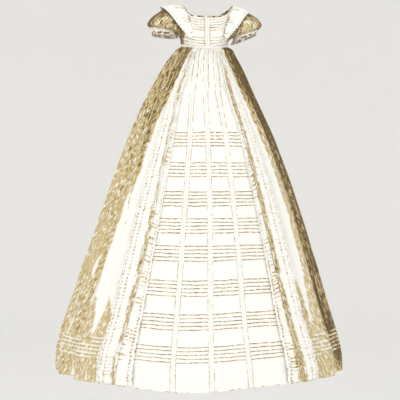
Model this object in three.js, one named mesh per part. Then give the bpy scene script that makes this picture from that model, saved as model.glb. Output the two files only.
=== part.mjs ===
// Christening gown, held open as if worn: tucked low-necked bodice, shoulder robings, puff sleeves and a
// long gathered skirt with a tucked front panel between two ruffled robings.
// Millimetres, +Z up. The front faces -Y. The origin is the shoulder line, midway between the neck corners.
// Left and right are as seen from in front: left is -X.
import * as THREE from 'three';

// ---- cloth and seams ---------------------------------------------------------------------
const CLOTH = 1.2;              // wall of the skirt and bodice panels
const TRIM = 1.0;               // wall of the pieces that lie on a panel
const SEAM = 0.3;               // clear space between neighbouring pieces
const TUCK_LIFT = 0.9;          // how far a tuck's fold stands off its panel
const TUCK_EDGE = 0.6;          // height of the step under a tuck's fold

// ---- heights -----------------------------------------------------------------------------
const WAIST_Z = -124;           // seam of bodice and skirt
const HEM_Z = -979;             // hem at the sides and back
const UNDERARM_Z = -92;
const WAIST_RISE = 11;          // how much higher the waist seam is at the sides than in front
const HEM_SAG = 12;             // how much lower the hem hangs at its lowest place in front
const SAG_AT = -8;              // where that place is, in degrees from the centre front
const SAG_WIDE = 20;            // half the width of that place, in degrees

// ---- skirt sections: half width, half depth and sideways lean of each oval ---------------
const SKIRT = [
  { z: -124, wide: 60, deep: 54, lean: -1 },
  { z: -131, wide: 76, deep: 67, lean: -7 },
  { z: -147, wide: 90, deep: 78, lean: -11 },
  { z: -180, wide: 115, deep: 100, lean: -15 },
  { z: -260, wide: 154, deep: 133, lean: -17 },
  { z: -360, wide: 199, deep: 171, lean: -15 },
  { z: -500, wide: 251, deep: 213, lean: -15 },
  { z: -650, wide: 301, deep: 253, lean: -17 },
  { z: -800, wide: 348, deep: 289, lean: -20 },
  { z: -880, wide: 374, deep: 309, lean: -21 },
  { z: -930, wide: 386, deep: 318, lean: -20 },
  { z: -979, wide: 388, deep: 321, lean: -19 },
];

// ---- front panel: where each piece lies, in degrees from the centre front ----------------
// strip = centre of a side insertion strip, panel = free edge of the inner ruffle, heading = heading band,
// ruffle = free edge of the outer ruffle
const FRONT = [
  { z: -124, strip: 17.5, panel: 23.5, heading: 27, ruffle: 31 },
  { z: -180, strip: 13.7, panel: 22.5, heading: 27, ruffle: 33 },
  { z: -360, strip: 13.2, panel: 24.5, heading: 29, ruffle: 38.5 },
  { z: -580, strip: 13.4, panel: 26.5, heading: 31.5, ruffle: 41.5 },
  { z: -820, strip: 13.6, panel: 28, heading: 34.7, ruffle: 43.5 },
  { z: -979, strip: 14.2, panel: 29.5, heading: 38, ruffle: 47 },
];
const STRIP_WIDE = 13.4;        // insertion strip, below the gathers
const STRIP_WIDE_TOP = 9;       // insertion strip at the waist seam
const BAND_WIDE = 14;           // heading band at the hem
const BAND_WIDE_TOP = 6;        // heading band at the waist
const PANEL_TUCK_TOPS = [-352, -430, -503, -570, -637, -720, -799, -874];
const TUCKS_IN_GROUP = 5;
const PANEL_TUCK_PITCH = 8.8;

// ---- plain skirt widths ------------------------------------------------------------------
const SIDE_SEAM = 107;          // degrees from the centre front to the seam of side and back widths
const HEM_TUCK_TOP = -870;
const HEM_TUCKS = 6;
const HEM_TUCK_PITCH = 9.6;
// folds: at = share of the way across the width, in = depth of the dip there, as a share of the half width
const SIDE_LEFT_FOLDS = [
  { at: 0, in: 0.006 },
  { at: 0.15, in: 0.012 },
  { at: 0.3, in: 0 },
  { at: 0.43, in: 0.09 },
  { at: 0.6, in: 0.015 },
  { at: 0.71, in: 0.05 },
  { at: 0.79, in: 0 },
  { at: 0.9, in: 0.045 },
  { at: 1, in: 0.012 },
];
const SIDE_RIGHT_FOLDS = [
  { at: 0, in: 0.006 },
  { at: 0.17, in: 0.03 },
  { at: 0.31, in: 0.004 },
  { at: 0.46, in: 0.052 },
  { at: 0.6, in: 0.006 },
  { at: 0.69, in: 0.04 },
  { at: 0.78, in: 0 },
  { at: 0.89, in: 0.04 },
  { at: 1, in: 0.01 },
];
const BACK_FOLDS = [
  { at: 0, in: 0.012 },
  { at: 0.13, in: 0.05 },
  { at: 0.26, in: 0.004 },
  { at: 0.4, in: 0.06 },
  { at: 0.53, in: 0 },
  { at: 0.68, in: 0.055 },
  { at: 0.82, in: 0.006 },
  { at: 0.92, in: 0.045 },
  { at: 1, in: 0.02 },
];

// ---- ruffles -----------------------------------------------------------------------------
const RUFFLE_ON_PANEL = 1.3;    // clear of the tucks under it
const RUFFLE_WAVE = 5;          // height of a ruffle's waves at the hem
const RUFFLE_PITCH = 54;        // length of one wave
const BAND_ON_RUFFLES = 3.6;    // clear of both ruffles

// ---- bodice ------------------------------------------------------------------------------
const WAIST = { wide: 57, deep: 52 };
const ARMHOLE = { x: 73.5, z: -50.5, tilt: 75.8, half: 42.8, deep: 36 };
const SHOULDER_END = new THREE.Vector3(84, 0, -9);
const NECK_CORNER = 0.84;       // share of the bodice's top edge from its centre to the neck corner
const BODICE_COLUMNS = [0, 0.17, 0.34, 0.51, 0.68, NECK_CORNER, 1];
// the neck edge from beside the centre to the neck corner
const NECK_FRONT = [
  { x: 7, y: -57, z: -40 },
  { x: 22, y: -56, z: -40 },
  { x: 38, y: -51, z: -38 },
  { x: 52, y: -37, z: -28 },
  { x: 61, y: -18, z: -13 },
  { x: 67, y: 0, z: -3.6 },
];
const NECK_BACK = [
  { x: 0, y: 54, z: -26 },
  { x: 22, y: 53, z: -25 },
  { x: 40, y: 47, z: -22 },
  { x: 54, y: 33, z: -15 },
  { x: 62, y: 16, z: -8 },
  { x: 67, y: 0, z: -3.6 },
];
const BODICE_UPPER_TUCKS = { top: -47.5, count: 5, pitch: 6.8 };
const BODICE_LOWER_TUCKS = { top: -95, count: 4, pitch: 7.4 };
const NECK_BINDING = { high: 3.2, thick: 1.8 };
const WAIST_BINDING = { high: 4.4, thick: 1.2 };
const BUTTON = { radius: 3.6, thick: 1.8 };
const BUTTON_HEIGHTS = [-42, -75, -110];

// ---- sleeves: the rings of each sleeve, from the armhole to the frill's edge -------------
// x, z = centre of the ring, tilt = degrees of its long axis above the level, half and deep = its half axes
const SLEEVE_LEFT = [
  { x: 73.5, z: -50.5, tilt: 75.8, half: 42.8, deep: 36 },
  { x: 89, z: -48, tilt: 60, half: 43, deep: 41 },
  { x: 102, z: -52, tilt: 45, half: 40.5, deep: 45 },
  { x: 115, z: -58.5, tilt: 28, half: 42, deep: 46 },
  { x: 121, z: -65, tilt: 15, half: 41, deep: 43 },
  { x: 119, z: -70, tilt: 11, half: 35.5, deep: 34 },
  { x: 118, z: -75, tilt: 10, half: 34.5, deep: 33.5 },
  { x: 116, z: -87, tilt: 9, half: 36, deep: 38 },
];
const SLEEVE_RIGHT = [
  { x: 73.5, z: -50.5, tilt: 75.8, half: 42.8, deep: 36 },
  { x: 84.5, z: -54, tilt: 62, half: 40.5, deep: 40 },
  { x: 97, z: -58.5, tilt: 45, half: 41, deep: 44 },
  { x: 105.5, z: -64.5, tilt: 31, half: 42, deep: 45 },
  { x: 108.5, z: -71, tilt: 23, half: 41.5, deep: 42 },
  { x: 105, z: -77.5, tilt: 20, half: 36, deep: 34 },
  { x: 103, z: -82.5, tilt: 20, half: 35, deep: 33.5 },
  { x: 98.5, z: -94, tilt: 21, half: 35, deep: 38 },
];
const SLEEVE_GATHER = 2.4;      // depth of the gathers in the puff
const FRILL_WAVE = 3;           // depth of the waves at the frill's edge

// ---- shoulder robings: inner and outer edge, from the rounded tip in front to the shoulder ---
const ROBING_FRONT = [
  { inX: 46, inY: -51.5, inZ: -97, outX: 53, outY: -47, outZ: -97 },
  { inX: 40, inY: -54, inZ: -88, outX: 63, outY: -46, outZ: -90 },
  { inX: 42, inY: -55.5, inZ: -74, outX: 75, outY: -50, outZ: -76 },
  { inX: 46, inY: -56.5, inZ: -60, outX: 86, outY: -53, outZ: -60 },
  { inX: 52, inY: -53, inZ: -44, outX: 96, outY: -50, outZ: -42 },
  { inX: 58, inY: -40, inZ: -24, outX: 107, outY: -38, outZ: -27 },
  { inX: 65, inY: -21, inZ: -7, outX: 117, outY: -20, outZ: -16.5 },
  { inX: 69.5, inY: 0, inZ: 0.6, outX: 121.5, outY: 0, outZ: -12.5 },
];
const ROBING_BACK = [
  { inX: 46, inY: 51.5, inZ: -97, outX: 53, outY: 47, outZ: -97 },
  { inX: 40, inY: 56, inZ: -88, outX: 63, outY: 48, outZ: -90 },
  { inX: 42, inY: 57.5, inZ: -74, outX: 75, outY: 52, outZ: -76 },
  { inX: 46, inY: 58, inZ: -58, outX: 86, outY: 55, outZ: -60 },
  { inX: 52, inY: 53, inZ: -36, outX: 96, outY: 51, outZ: -42 },
  { inX: 59, inY: 38, inZ: -15, outX: 107, outY: 39, outZ: -26 },
  { inX: 66, inY: 20, inZ: -4, outX: 117, outY: 20, outZ: -16 },
];
const ROBING_REACH = { left: 5, right: -5.5 };   // added to the outer edge's reach at the shoulder
const ROBING_RISE = { left: 5.5, right: -5 };    // added to the outer edge's height at the shoulder
const ROBING_BOW = 2.5;         // how far a robing bows off the straight between its edges

const WHITE = '#f2ede1';
const LACE = '#e6dcc4';
const TAPE = '#efe8d8';
const BUTTON_COLOUR = '#e9e1cf';

// ---- helpers -----------------------------------------------------------------------------
const radians = THREE.MathUtils.degToRad;
const mix = THREE.MathUtils.lerp;

/** Evenly spaced numbers from a to b, both included. */
function spaced(a, b, steps) {
  return Array.from({ length: steps + 1 }, (_, i) => mix(a, b, i / steps));
}

/** Reads a column of a table whose rows fall in z, with a smooth curve through the rows. */
function read(table, column, z) {
  const last = table.length - 1;
  let i = 0;
  while (i < last - 1 && z < table[i + 1].z) {
    i += 1;
  }
  const slope = (k) => {
    const from = Math.max(k - 1, 0);
    const to = Math.min(k + 1, last);
    return (table[to][column] - table[from][column]) / (table[to].z - table[from].z);
  };
  const length = table[i + 1].z - table[i].z;
  const t = THREE.MathUtils.clamp((z - table[i].z) / length, 0, 1);
  const straight = mix(table[i][column], table[i + 1][column], t);
  const rise = (table[i + 1][column] - table[i][column]) / length;
  const bow = t * (1 - t) * length;
  return straight + bow * ((1 - t) * (slope(i) - rise) - t * (slope(i + 1) - rise));
}

/** A point of a two-way surface moved off it by a distance along the surface's normal. */
function lifted(surface, u, v, out, stepU, stepV) {
  const alongU = surface(u + stepU, v).sub(surface(u - stepU, v));
  const alongV = surface(u, v + stepV).sub(surface(u, v - stepV));
  const normal = alongU.cross(alongV).normalize();
  return surface(u, v).addScaledVector(normal, out);
}

/** Adds the triangles that join two lines of point numbers, always taking the shorter diagonal. */
function zip(points, triangles, a, b) {
  let i = 0;
  let j = 0;
  while (i < a.length - 1 || j < b.length - 1) {
    const nextA = i < a.length - 1 ? points[a[i + 1]].distanceTo(points[b[j]]) : Infinity;
    const nextB = j < b.length - 1 ? points[a[i]].distanceTo(points[b[j + 1]]) : Infinity;
    if (nextA <= nextB) {
      triangles.push([a[i], a[i + 1], b[j]]);
      i += 1;
    } else {
      triangles.push([a[i], b[j + 1], b[j]]);
      j += 1;
    }
  }
}

/** Turns points and triangles into a geometry that faces outwards. */
function solid(points, triangles) {
  let volume = 0;
  for (const [a, b, c] of triangles) {
    volume += points[a].dot(points[b].clone().cross(points[c]));
  }
  const order = volume > 0 ? triangles : triangles.map(([a, b, c]) => [a, c, b]);
  const geometry = new THREE.BufferGeometry();
  const numbers = points.flatMap((p) => p.toArray());
  geometry.setAttribute('position', new THREE.Float32BufferAttribute(numbers, 3));
  geometry.setIndex(order.flat());
  geometry.computeVertexNormals();
  return geometry;
}

/** The triangles of a grid of point numbers, as seen from one side. */
function face(triangles, grid, ring, flipped) {
  for (let i = 0; i < grid.length - 1; i += 1) {
    const columns = ring ? grid[i].length : grid[i].length - 1;
    for (let j = 0; j < columns; j += 1) {
      const k = (j + 1) % grid[i].length;
      const [a, b, c, d] = [grid[i][j], grid[i][k], grid[i + 1][k], grid[i + 1][j]];
      triangles.push(flipped ? [a, c, b] : [a, b, c], flipped ? [a, d, c] : [a, c, d]);
    }
  }
}

/** A closed wall between an outside grid and an inside grid, which may have fewer rows. */
function wall(outside, inside, ring = false) {
  const points = [];
  const number = (grid) => grid.map((row) => row.map((p) => points.push(p) - 1));
  const outer = number(outside);
  const inner = number(inside);
  const triangles = [];
  face(triangles, outer, ring, false);
  face(triangles, inner, ring, true);
  const last = [outer.length - 1, inner.length - 1];
  face(triangles, [inner[0], outer[0]], ring, false);
  face(triangles, [outer[last[0]], inner[last[1]]], ring, false);
  if (!ring) {
    const end = outer[0].length - 1;
    zip(points, triangles, outer.map((row) => row[0]), inner.map((row) => row[0]));
    zip(points, triangles, inner.map((row) => row[end]), outer.map((row) => row[end]));
  }
  return solid(points, triangles);
}

/** The same geometry on the other side of the gown. */
function mirrored(geometry) {
  const copy = geometry.clone();
  copy.scale(-1, 1, 1);
  const index = copy.getIndex().array;
  for (let i = 0; i < index.length; i += 3) {
    [index[i + 1], index[i + 2]] = [index[i + 2], index[i + 1]];
  }
  copy.computeVertexNormals();
  return copy;
}

const group = new THREE.Group();
group.name = 'christening_gown';

/** Adds a named piece to the gown. */
function add(name, geometry, color, roughness = 0.85) {
  const material = new THREE.MeshStandardMaterial({ color, roughness, metalness: 0 });
  const mesh = new THREE.Mesh(geometry, material);
  mesh.name = name;
  group.add(mesh);
}

// ---- skirt surface -----------------------------------------------------------------------
/** The skirt's outside before folds: an oval at each height, which sags a little in front. */
function skirt(angle, z) {
  const a = radians(angle);
  const share = THREE.MathUtils.clamp((WAIST_Z - z) / (WAIST_Z - HEM_Z), 0, 1);
  const sag = HEM_SAG * share ** 3 * Math.exp(-(((angle - SAG_AT) / SAG_WIDE) ** 2));
  const rise = WAIST_RISE * Math.sin(a) ** 2 * (1 - THREE.MathUtils.smoothstep(WAIST_Z - z, 0, 130));
  const x = read(SKIRT, 'lean', z) + read(SKIRT, 'wide', z) * Math.sin(a);
  return new THREE.Vector3(x, -read(SKIRT, 'deep', z) * Math.cos(a), z - sag + rise);
}

/** A point moved off the skirt's surface. */
function onSkirt(angle, z, out) {
  return lifted(skirt, angle, z, out, 0.5, 1);
}

/** The angle that a length in millimetres takes up on the skirt's oval. */
function span(angle, z, length) {
  const a = radians(angle);
  const radius = Math.hypot(read(SKIRT, 'wide', z) * Math.cos(a), read(SKIRT, 'deep', z) * Math.sin(a));
  return THREE.MathUtils.radToDeg(length / radius);
}

/** A width that grows quickly from its size at the waist to its full size below the gathers. */
function widening(z, top, full) {
  return mix(top, full, THREE.MathUtils.smoothstep(WAIST_Z - z, 0, 60));
}

/** A row of a panel at a height that the inside of its wall shares. */
const plain = (z) => ({ z, out: 0, shared: true });

/** Rows of one group of tucks: each tuck slopes out to its fold and steps back under it. */
function tuckRows(top, count, pitch) {
  const folds = Array.from({ length: count }, (_, k) => [
    { z: top - k * pitch, out: TUCK_LIFT, shared: false },
    { z: top - k * pitch - TUCK_EDGE, out: 0, shared: false },
  ]);
  return [plain(top + pitch), ...folds.flat()];
}

const SKIRT_TOP = WAIST_Z - SEAM;
const UPPER_ROWS = [SKIRT_TOP, -128, -136, -150, -175, -215, -275].map(plain);
const HEM_ROWS = [-932, -955, HEM_Z].map(plain);

/** A skirt piece with rows of tucks; edges(z) gives the angles of its columns at a height. */
function skirtPiece(rows, edges) {
  const outside = rows.map(({ z, out }) => edges(z).map((e) => onSkirt(e.angle, z, out - e.in)));
  const inside = rows.filter((row) => row.shared)
    .map(({ z }) => edges(z).map((e) => onSkirt(e.angle, z, -CLOTH - e.in)));
  return wall(outside, inside);
}

/** Half of an insertion strip's width at a height, as an angle. */
function halfStrip(z) {
  return span(0, z, widening(z, STRIP_WIDE_TOP, STRIP_WIDE) / 2);
}

// Front panel: three insertion strips and four tucked columns between and beside them.
const panelTucks = PANEL_TUCK_TOPS.flatMap((top) => tuckRows(top, TUCKS_IN_GROUP, PANEL_TUCK_PITCH));
const columnRows = [...UPPER_ROWS, ...panelTucks, ...HEM_ROWS];
const stripRows = columnRows.filter((row) => row.shared);
for (const [number, side] of [[1, -1], [2, 0], [3, 1]]) {
  const edges = (z) => [-1, 1].map((edge) => ({
    angle: side * read(FRONT, 'strip', z) + edge * (halfStrip(z) - span(0, z, SEAM / 2)),
    in: 0,
  }));
  add(`skirt_strip_${number}`, skirtPiece(stripRows, edges), LACE, 0.8);
}
const heading = (z) => read(FRONT, 'heading', z);
const outerEdge = (z) => read(FRONT, 'strip', z) + halfStrip(z);
const innerEdge = (z) => read(FRONT, 'strip', z) - halfStrip(z);
const columns = [
  { name: 'skirt_column_1', from: (z) => -heading(z), to: (z) => -outerEdge(z), steps: 2 },
  { name: 'skirt_column_2', from: (z) => -innerEdge(z), to: (z) => -halfStrip(z), steps: 1 },
  { name: 'skirt_column_3', from: halfStrip, to: innerEdge, steps: 1 },
  { name: 'skirt_column_4', from: outerEdge, to: heading, steps: 2 },
];
for (const { name, from, to, steps } of columns) {
  const edges = (z) => {
    const gap = span(0, z, SEAM / 2);
    return spaced(from(z) + gap, to(z) - gap, steps).map((angle) => ({ angle, in: 0 }));
  };
  add(name, skirtPiece(columnRows, edges), WHITE);
}

// Plain widths: two at the sides and two at the back, in folds, with a band of tucks above the hem.
const widthRows = [
  ...UPPER_ROWS,
  ...spaced(-380, -790, 4).map(plain),
  ...tuckRows(HEM_TUCK_TOP, HEM_TUCKS, HEM_TUCK_PITCH),
  plain(HEM_TUCK_TOP - HEM_TUCKS * HEM_TUCK_PITCH),
  ...HEM_ROWS.slice(1),
];

/** A plain width from one angle to another, with its folds. */
function width(from, to, folds) {
  const edges = (z) => {
    const gap = span(90, z, SEAM / 2) * Math.sign(to(z) - from(z));
    const deepening = mix(1.25, 1, (WAIST_Z - z) / (WAIST_Z - HEM_Z));
    return folds.map((fold) => ({
      angle: mix(from(z) + gap, to(z) - gap, fold.at),
      in: fold.in * deepening * read(SKIRT, 'wide', z),
    }));
  };
  return skirtPiece(widthRows, edges);
}
add('skirt_side_left', width((z) => -heading(z), () => -SIDE_SEAM, SIDE_LEFT_FOLDS), WHITE);
add('skirt_side_right', width(heading, () => SIDE_SEAM, SIDE_RIGHT_FOLDS), WHITE);
add('skirt_back_left', width(() => -SIDE_SEAM, () => -180, BACK_FOLDS), WHITE);
add('skirt_back_right', width(() => SIDE_SEAM, () => 180, BACK_FOLDS), WHITE);

// Robings on the skirt: two ruffles sewn under a heading band, each side of the front panel.
const RUFFLE_TOP = WAIST_Z - 12;
const waves = Math.round((RUFFLE_TOP - HEM_Z) / RUFFLE_PITCH);
const ruffleRows = spaced(RUFFLE_TOP, HEM_Z + 3, waves * 2).map((z, i) => ({ z, wave: i % 2 }));

/** A ruffle from its sewn edge to its free edge, with waves that grow towards the free edge and the hem. */
function ruffle(side, sewn, free) {
  const rows = (lift) => ruffleRows.map(({ z, wave }) => {
    const share = (RUFFLE_TOP - z) / (RUFFLE_TOP - HEM_Z);
    const high = wave * mix(1.5, RUFFLE_WAVE, share);
    const scallop = span(30, z, wave * mix(0.5, 2.5, share)) * Math.sign(free(z) - sewn(z));
    return [
      onSkirt(side * sewn(z), z, RUFFLE_ON_PANEL + lift),
      onSkirt(side * (free(z) + scallop), z, RUFFLE_ON_PANEL + lift + high),
    ];
  });
  return wall(rows(TRIM), rows(0));
}

/** Half of the heading band's width at a height, as an angle. */
function halfBand(z) {
  const share = (WAIST_Z - z) / (WAIST_Z - HEM_Z);
  return span(30, z, mix(BAND_WIDE_TOP, BAND_WIDE, Math.min(1, 1.4 * share)) / 2);
}

const bandUpper = [RUFFLE_TOP, -147, -165, -190, -225, -270, -330];
const bandRows = [...bandUpper, ...spaced(-400, -880, 6), -930, -955, HEM_Z + 3];

/** The heading band of one robing. */
function headingBand(side) {
  const edgeAt = (z, edge, out) => onSkirt(side * (heading(z) + edge * halfBand(z)), z, out);
  const rows = (out) => bandRows.map((z) => [-1, 1].map((edge) => edgeAt(z, edge, out)));
  return wall(rows(BAND_ON_RUFFLES + TRIM), rows(BAND_ON_RUFFLES));
}
for (const [name, side] of [['left', -1], ['right', 1]]) {
  const sewn = (gap) => (z) => heading(z) + gap * span(30, z, SEAM / 2);
  add(`ruffle_inner_${name}`, ruffle(side, sewn(-1), (z) => read(FRONT, 'panel', z)), WHITE);
  add(`ruffle_outer_${name}`, ruffle(side, sewn(1), (z) => read(FRONT, 'ruffle', z)), WHITE);
  add(`heading_band_${name}`, headingBand(side), LACE, 0.8);
}

// ---- bodice ------------------------------------------------------------------------------
/** The edge of the armhole in front (y < 0) at a height, and the side seam under it. */
function sideEdge(z) {
  if (z <= UNDERARM_Z) {
    const share = (z - WAIST_Z - WAIST_RISE) / (UNDERARM_Z - WAIST_Z - WAIST_RISE);
    return new THREE.Vector3(mix(WAIST.wide, 63, share), 0, z);
  }
  const share = (z - UNDERARM_Z) / (SHOULDER_END.z - UNDERARM_Z);
  const height = 2 * share - 1;
  const reach = ARMHOLE.deep * Math.sqrt(Math.max(0, 1 - height ** 2));
  return new THREE.Vector3(mix(63, SHOULDER_END.x, share), -reach, z);
}

/** The top edge of half a bodice: the neck line as far as the neck corner, then the shoulder seam. */
function topEdge(neck) {
  const curve = new THREE.CatmullRomCurve3(neck.map((p) => new THREE.Vector3(p.x, p.y, p.z)));
  const corner = curve.getPointAt(1);
  return (s) => (s <= NECK_CORNER
    ? curve.getPointAt(THREE.MathUtils.clamp(s / NECK_CORNER, 0, 1))
    : corner.clone().lerp(SHOULDER_END, (s - NECK_CORNER) / (1 - NECK_CORNER)));
}

/** The surface of half a bodice, front or back, filled in between its waist, top, centre and side edges. */
function bodiceHalf(neck, facing) {
  const topAt = topEdge(neck);
  const centreTop = topAt(0);
  const waistFrom = Math.asin(centreTop.x / WAIST.wide);
  const waistAt = (s) => {
    const a = mix(waistFrom, Math.PI / 2, s);
    const rise = WAIST_RISE * Math.sin(a) ** 2;
    return new THREE.Vector3(WAIST.wide * Math.sin(a), facing * WAIST.deep * Math.cos(a), WAIST_Z + rise);
  };
  const centreAt = (v) => waistAt(0).lerp(centreTop, v);
  const sideAt = (v) => {
    const p = sideEdge(mix(WAIST_Z + WAIST_RISE, SHOULDER_END.z, v));
    p.y *= -facing;
    return p;
  };
  return (s, v) => {
    const corners = waistAt(0).multiplyScalar((1 - s) * (1 - v))
      .addScaledVector(waistAt(1), s * (1 - v))
      .addScaledVector(centreTop, (1 - s) * v)
      .addScaledVector(SHOULDER_END, s * v);
    return waistAt(s).multiplyScalar(1 - v)
      .addScaledVector(topAt(s), v)
      .addScaledVector(centreAt(v), 1 - s)
      .addScaledVector(sideAt(v), s)
      .sub(corners);
  };
}

/** A point of the bodice moved off it along its normal. */
function offBodice(surface, facing, s, v, out) {
  const sIn = THREE.MathUtils.clamp(s, 0.01, 0.99);
  const vIn = THREE.MathUtils.clamp(v, 0.01, 0.99);
  const normal = lifted(surface, sIn, vIn, 1, 0.01, 0.01).sub(surface(sIn, vIn));
  return surface(s, v).addScaledVector(normal, -facing * out);
}

/** A right-hand panel of the bodice, with its rows as { v, out }. */
function bodicePanel(surface, facing, rows) {
  const at = (v, out) => BODICE_COLUMNS.map((s) => {
    const point = offBodice(surface, facing, s, v, out);
    point.x = Math.max(point.x, SEAM / 2);
    point.y = facing < 0 ? Math.min(point.y, -SEAM / 2) : Math.max(point.y, SEAM / 2);
    return point;
  });
  const outside = rows.map(({ v, out }) => at(v, out));
  const inside = rows.filter((row) => row.shared).map(({ v }) => at(v, -CLOTH));
  return wall(outside, inside);
}

const front = bodiceHalf(NECK_FRONT, -1);
const back = bodiceHalf(NECK_BACK, 1);
/** A height on the centre front as a share of the way up the bodice. */
function up(z) {
  return (z - WAIST_Z) / (NECK_FRONT[0].z - WAIST_Z);
}
const bodiceTucks = [BODICE_LOWER_TUCKS, BODICE_UPPER_TUCKS].flatMap(({ top, count, pitch }) =>
  tuckRows(top, count, pitch).reverse());
const frontRows = [plain(WAIST_Z), ...bodiceTucks, plain(NECK_FRONT[0].z)]
  .map((row) => ({ ...row, v: up(row.z) }));
const frontPanel = bodicePanel(front, -1, frontRows);
add('bodice_front_right', frontPanel, WHITE);
add('bodice_front_left', mirrored(frontPanel), WHITE);
const backRows = [0, 0.14, 0.28, 0.45, 0.62, 0.8, 0.92, 1].map((v) => ({ v, out: 0, shared: true }));
const backPanel = bodicePanel(back, 1, backRows);
add('bodice_back_right', backPanel, WHITE);
add('bodice_back_left', mirrored(backPanel), WHITE);

// The insertion strip down the centre front, between the two tucked halves.
const stripHeights = [0, 0.35, 0.7, 1];
const stripFace = (out) => stripHeights.map((v) => [-1, 1].map((edge) => {
  const p = front(0, v);
  return new THREE.Vector3(edge * (p.x - SEAM), p.y - out, p.z);
}));
add('bodice_strip', wall(stripFace(0), stripFace(-CLOTH)), LACE, 0.8);

/** A closed ring of points round the body, from its right half in front and behind. */
function roundBody(frontPoints, backPoints) {
  const right = [...frontPoints, ...backPoints.reverse()];
  const left = right.slice(1, -1).reverse().map((p) => new THREE.Vector3(-p.x, p.y, p.z));
  return [...right, ...left];
}

/** The ring of the bodice's points a share of the way up, moved out; it passes over the centre strip. */
function bodiceRing(share, out) {
  const frontPoints = BODICE_COLUMNS.slice(0, -1).map((s) => offBodice(front, -1, s, share, out));
  const centre = frontPoints[0].clone().setX(0);
  const side = offBodice(front, -1, 1, share, out).setY(0);
  const backPoints = BODICE_COLUMNS.slice(0, -1).map((s) => offBodice(back, 1, s, share, out));
  backPoints[0].x = 0;
  return roundBody([centre, ...frontPoints, side], backPoints);
}
const bindingFoot = 0.008;
const bindingHead = bindingFoot + WAIST_BINDING.high / (NECK_FRONT[0].z - WAIST_Z);
add('waist_binding', wall(
  [bodiceRing(bindingHead, 0.8 + WAIST_BINDING.thick), bodiceRing(bindingFoot, 0.8 + WAIST_BINDING.thick)],
  [bodiceRing(bindingHead, 0.8), bodiceRing(bindingFoot, 0.8)],
  true,
), TAPE);

/** The ring of the neck edge, raised and moved outwards. */
function neckRing(rise, out) {
  const columns = BODICE_COLUMNS.slice(0, -1);
  const frontPoints = columns.map((s) => front(s, 1));
  const backPoints = columns.slice(0, -1).map((s) => back(s, 1));
  return roundBody([frontPoints[0].clone().setX(0), ...frontPoints], backPoints)
    .map((p) => p.clone().addScaledVector(p.clone().setZ(0).normalize(), out).setZ(p.z + rise));
}
const bindingTop = SEAM + NECK_BINDING.high;
add('neck_binding', wall(
  [neckRing(bindingTop, 0.3), neckRing(0.6, 0.3)],
  [neckRing(bindingTop, 0.3 - NECK_BINDING.thick), neckRing(0.6, 0.3 - NECK_BINDING.thick)],
  true,
), TAPE);

// ---- sleeves -----------------------------------------------------------------------------
/** One ring of a right-hand sleeve, drawn in by a distance and with gathers of a given depth. */
function ring(row, drawnIn, gather, steps, shift = 0) {
  const tilt = radians(row.tilt);
  const across = new THREE.Vector3(Math.cos(tilt), 0, Math.sin(tilt));
  const forward = new THREE.Vector3(0, -1, 0);
  const onward = new THREE.Vector3(Math.sin(tilt), 0, -Math.cos(tilt));
  return Array.from({ length: steps }, (_, i) => {
    const a = (2 * Math.PI * i) / steps;
    const dip = drawnIn + (i % 2) * gather;
    return new THREE.Vector3(row.x, 0, row.z)
      .addScaledVector(across, (row.half - dip) * Math.cos(a))
      .addScaledVector(forward, (row.deep - dip) * Math.sin(a))
      .addScaledVector(onward, shift);
  });
}

/** A tube through rings of a sleeve; gathers and shifts hold one number for each ring. */
function tube(rows, gathers, shifts, steps, thick) {
  const rings = (drawnIn) => rows.map((row, i) => ring(row, drawnIn, gathers[i], steps, shifts[i]));
  return wall(rings(0), rings(thick), true);
}

for (const [name, rows, side] of [['left', SLEEVE_LEFT, -1], ['right', SLEEVE_RIGHT, 1]]) {
  const placed = (geometry) => (side < 0 ? mirrored(geometry) : geometry);
  const puffGathers = [0, ...Array(4).fill(SLEEVE_GATHER), 0];
  const puff = tube(rows.slice(0, 6), puffGathers, [0.8, 0, 0, 0, 0, 0], 14, CLOTH);
  const band = tube(rows.slice(5, 7), [0, 0], [SEAM, 0], 14, TRIM);
  const frill = tube(rows.slice(6, 8), [0, FRILL_WAVE], [SEAM, 0], 24, TRIM);
  add(`sleeve_${name}`, placed(puff), WHITE);
  add(`sleeve_band_${name}`, placed(band), LACE, 0.8);
  add(`sleeve_frill_${name}`, placed(frill), WHITE);
}

// ---- shoulder robings --------------------------------------------------------------------
/** A robing from the tip in front, over the shoulder, to the tip at the back. */
function robing(side) {
  const path = [...ROBING_FRONT, ...ROBING_BACK.slice().reverse()];
  const section = (row, i, out) => {
    const turn = (Math.PI * i) / (path.length - 1);
    const height = Math.sin(turn);
    const outward = new THREE.Vector3(0.25, -Math.cos(turn), height).normalize();
    const inner = new THREE.Vector3(row.inX, row.inY, row.inZ);
    const outer = new THREE.Vector3(row.outX, row.outY, row.outZ);
    outer.x += height * ROBING_REACH[side];
    outer.z += height * ROBING_RISE[side];
    const middle = inner.clone().lerp(outer, 0.5).addScaledVector(outward, ROBING_BOW);
    return [inner, middle, outer].map((p) => p.clone().addScaledVector(outward, out));
  };
  const rows = (out) => path.map((row, i) => section(row, i, out));
  return wall(rows(TRIM), rows(0));
}
add('robing_left', mirrored(robing('left')), WHITE);
add('robing_right', robing('right'), WHITE);

// Three small buttons close the bodice down the centre back.
BUTTON_HEIGHTS.forEach((z, i) => {
  const button = new THREE.CylinderGeometry(BUTTON.radius, BUTTON.radius, BUTTON.thick, 12);
  const p = back(0.04, (z - WAIST_Z) / (NECK_BACK[0].z - WAIST_Z));
  button.translate(p.x, p.y + CLOTH + BUTTON.thick / 2, p.z);
  add(`button_${i + 1}`, button, BUTTON_COLOUR, 0.5);
});

export default group;
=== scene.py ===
"""A christening gown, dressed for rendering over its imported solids.

The shapes are worked out as numpy arrays in the frame of the solids: +Z up, the front faces -Y, and the
origin is the shoulder line. Lengths are in millimetres and angles in degrees where nothing else is said,
and points become metres when they are put into a mesh. Left and right are as seen from in front, so left
is -X.
"""

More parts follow.
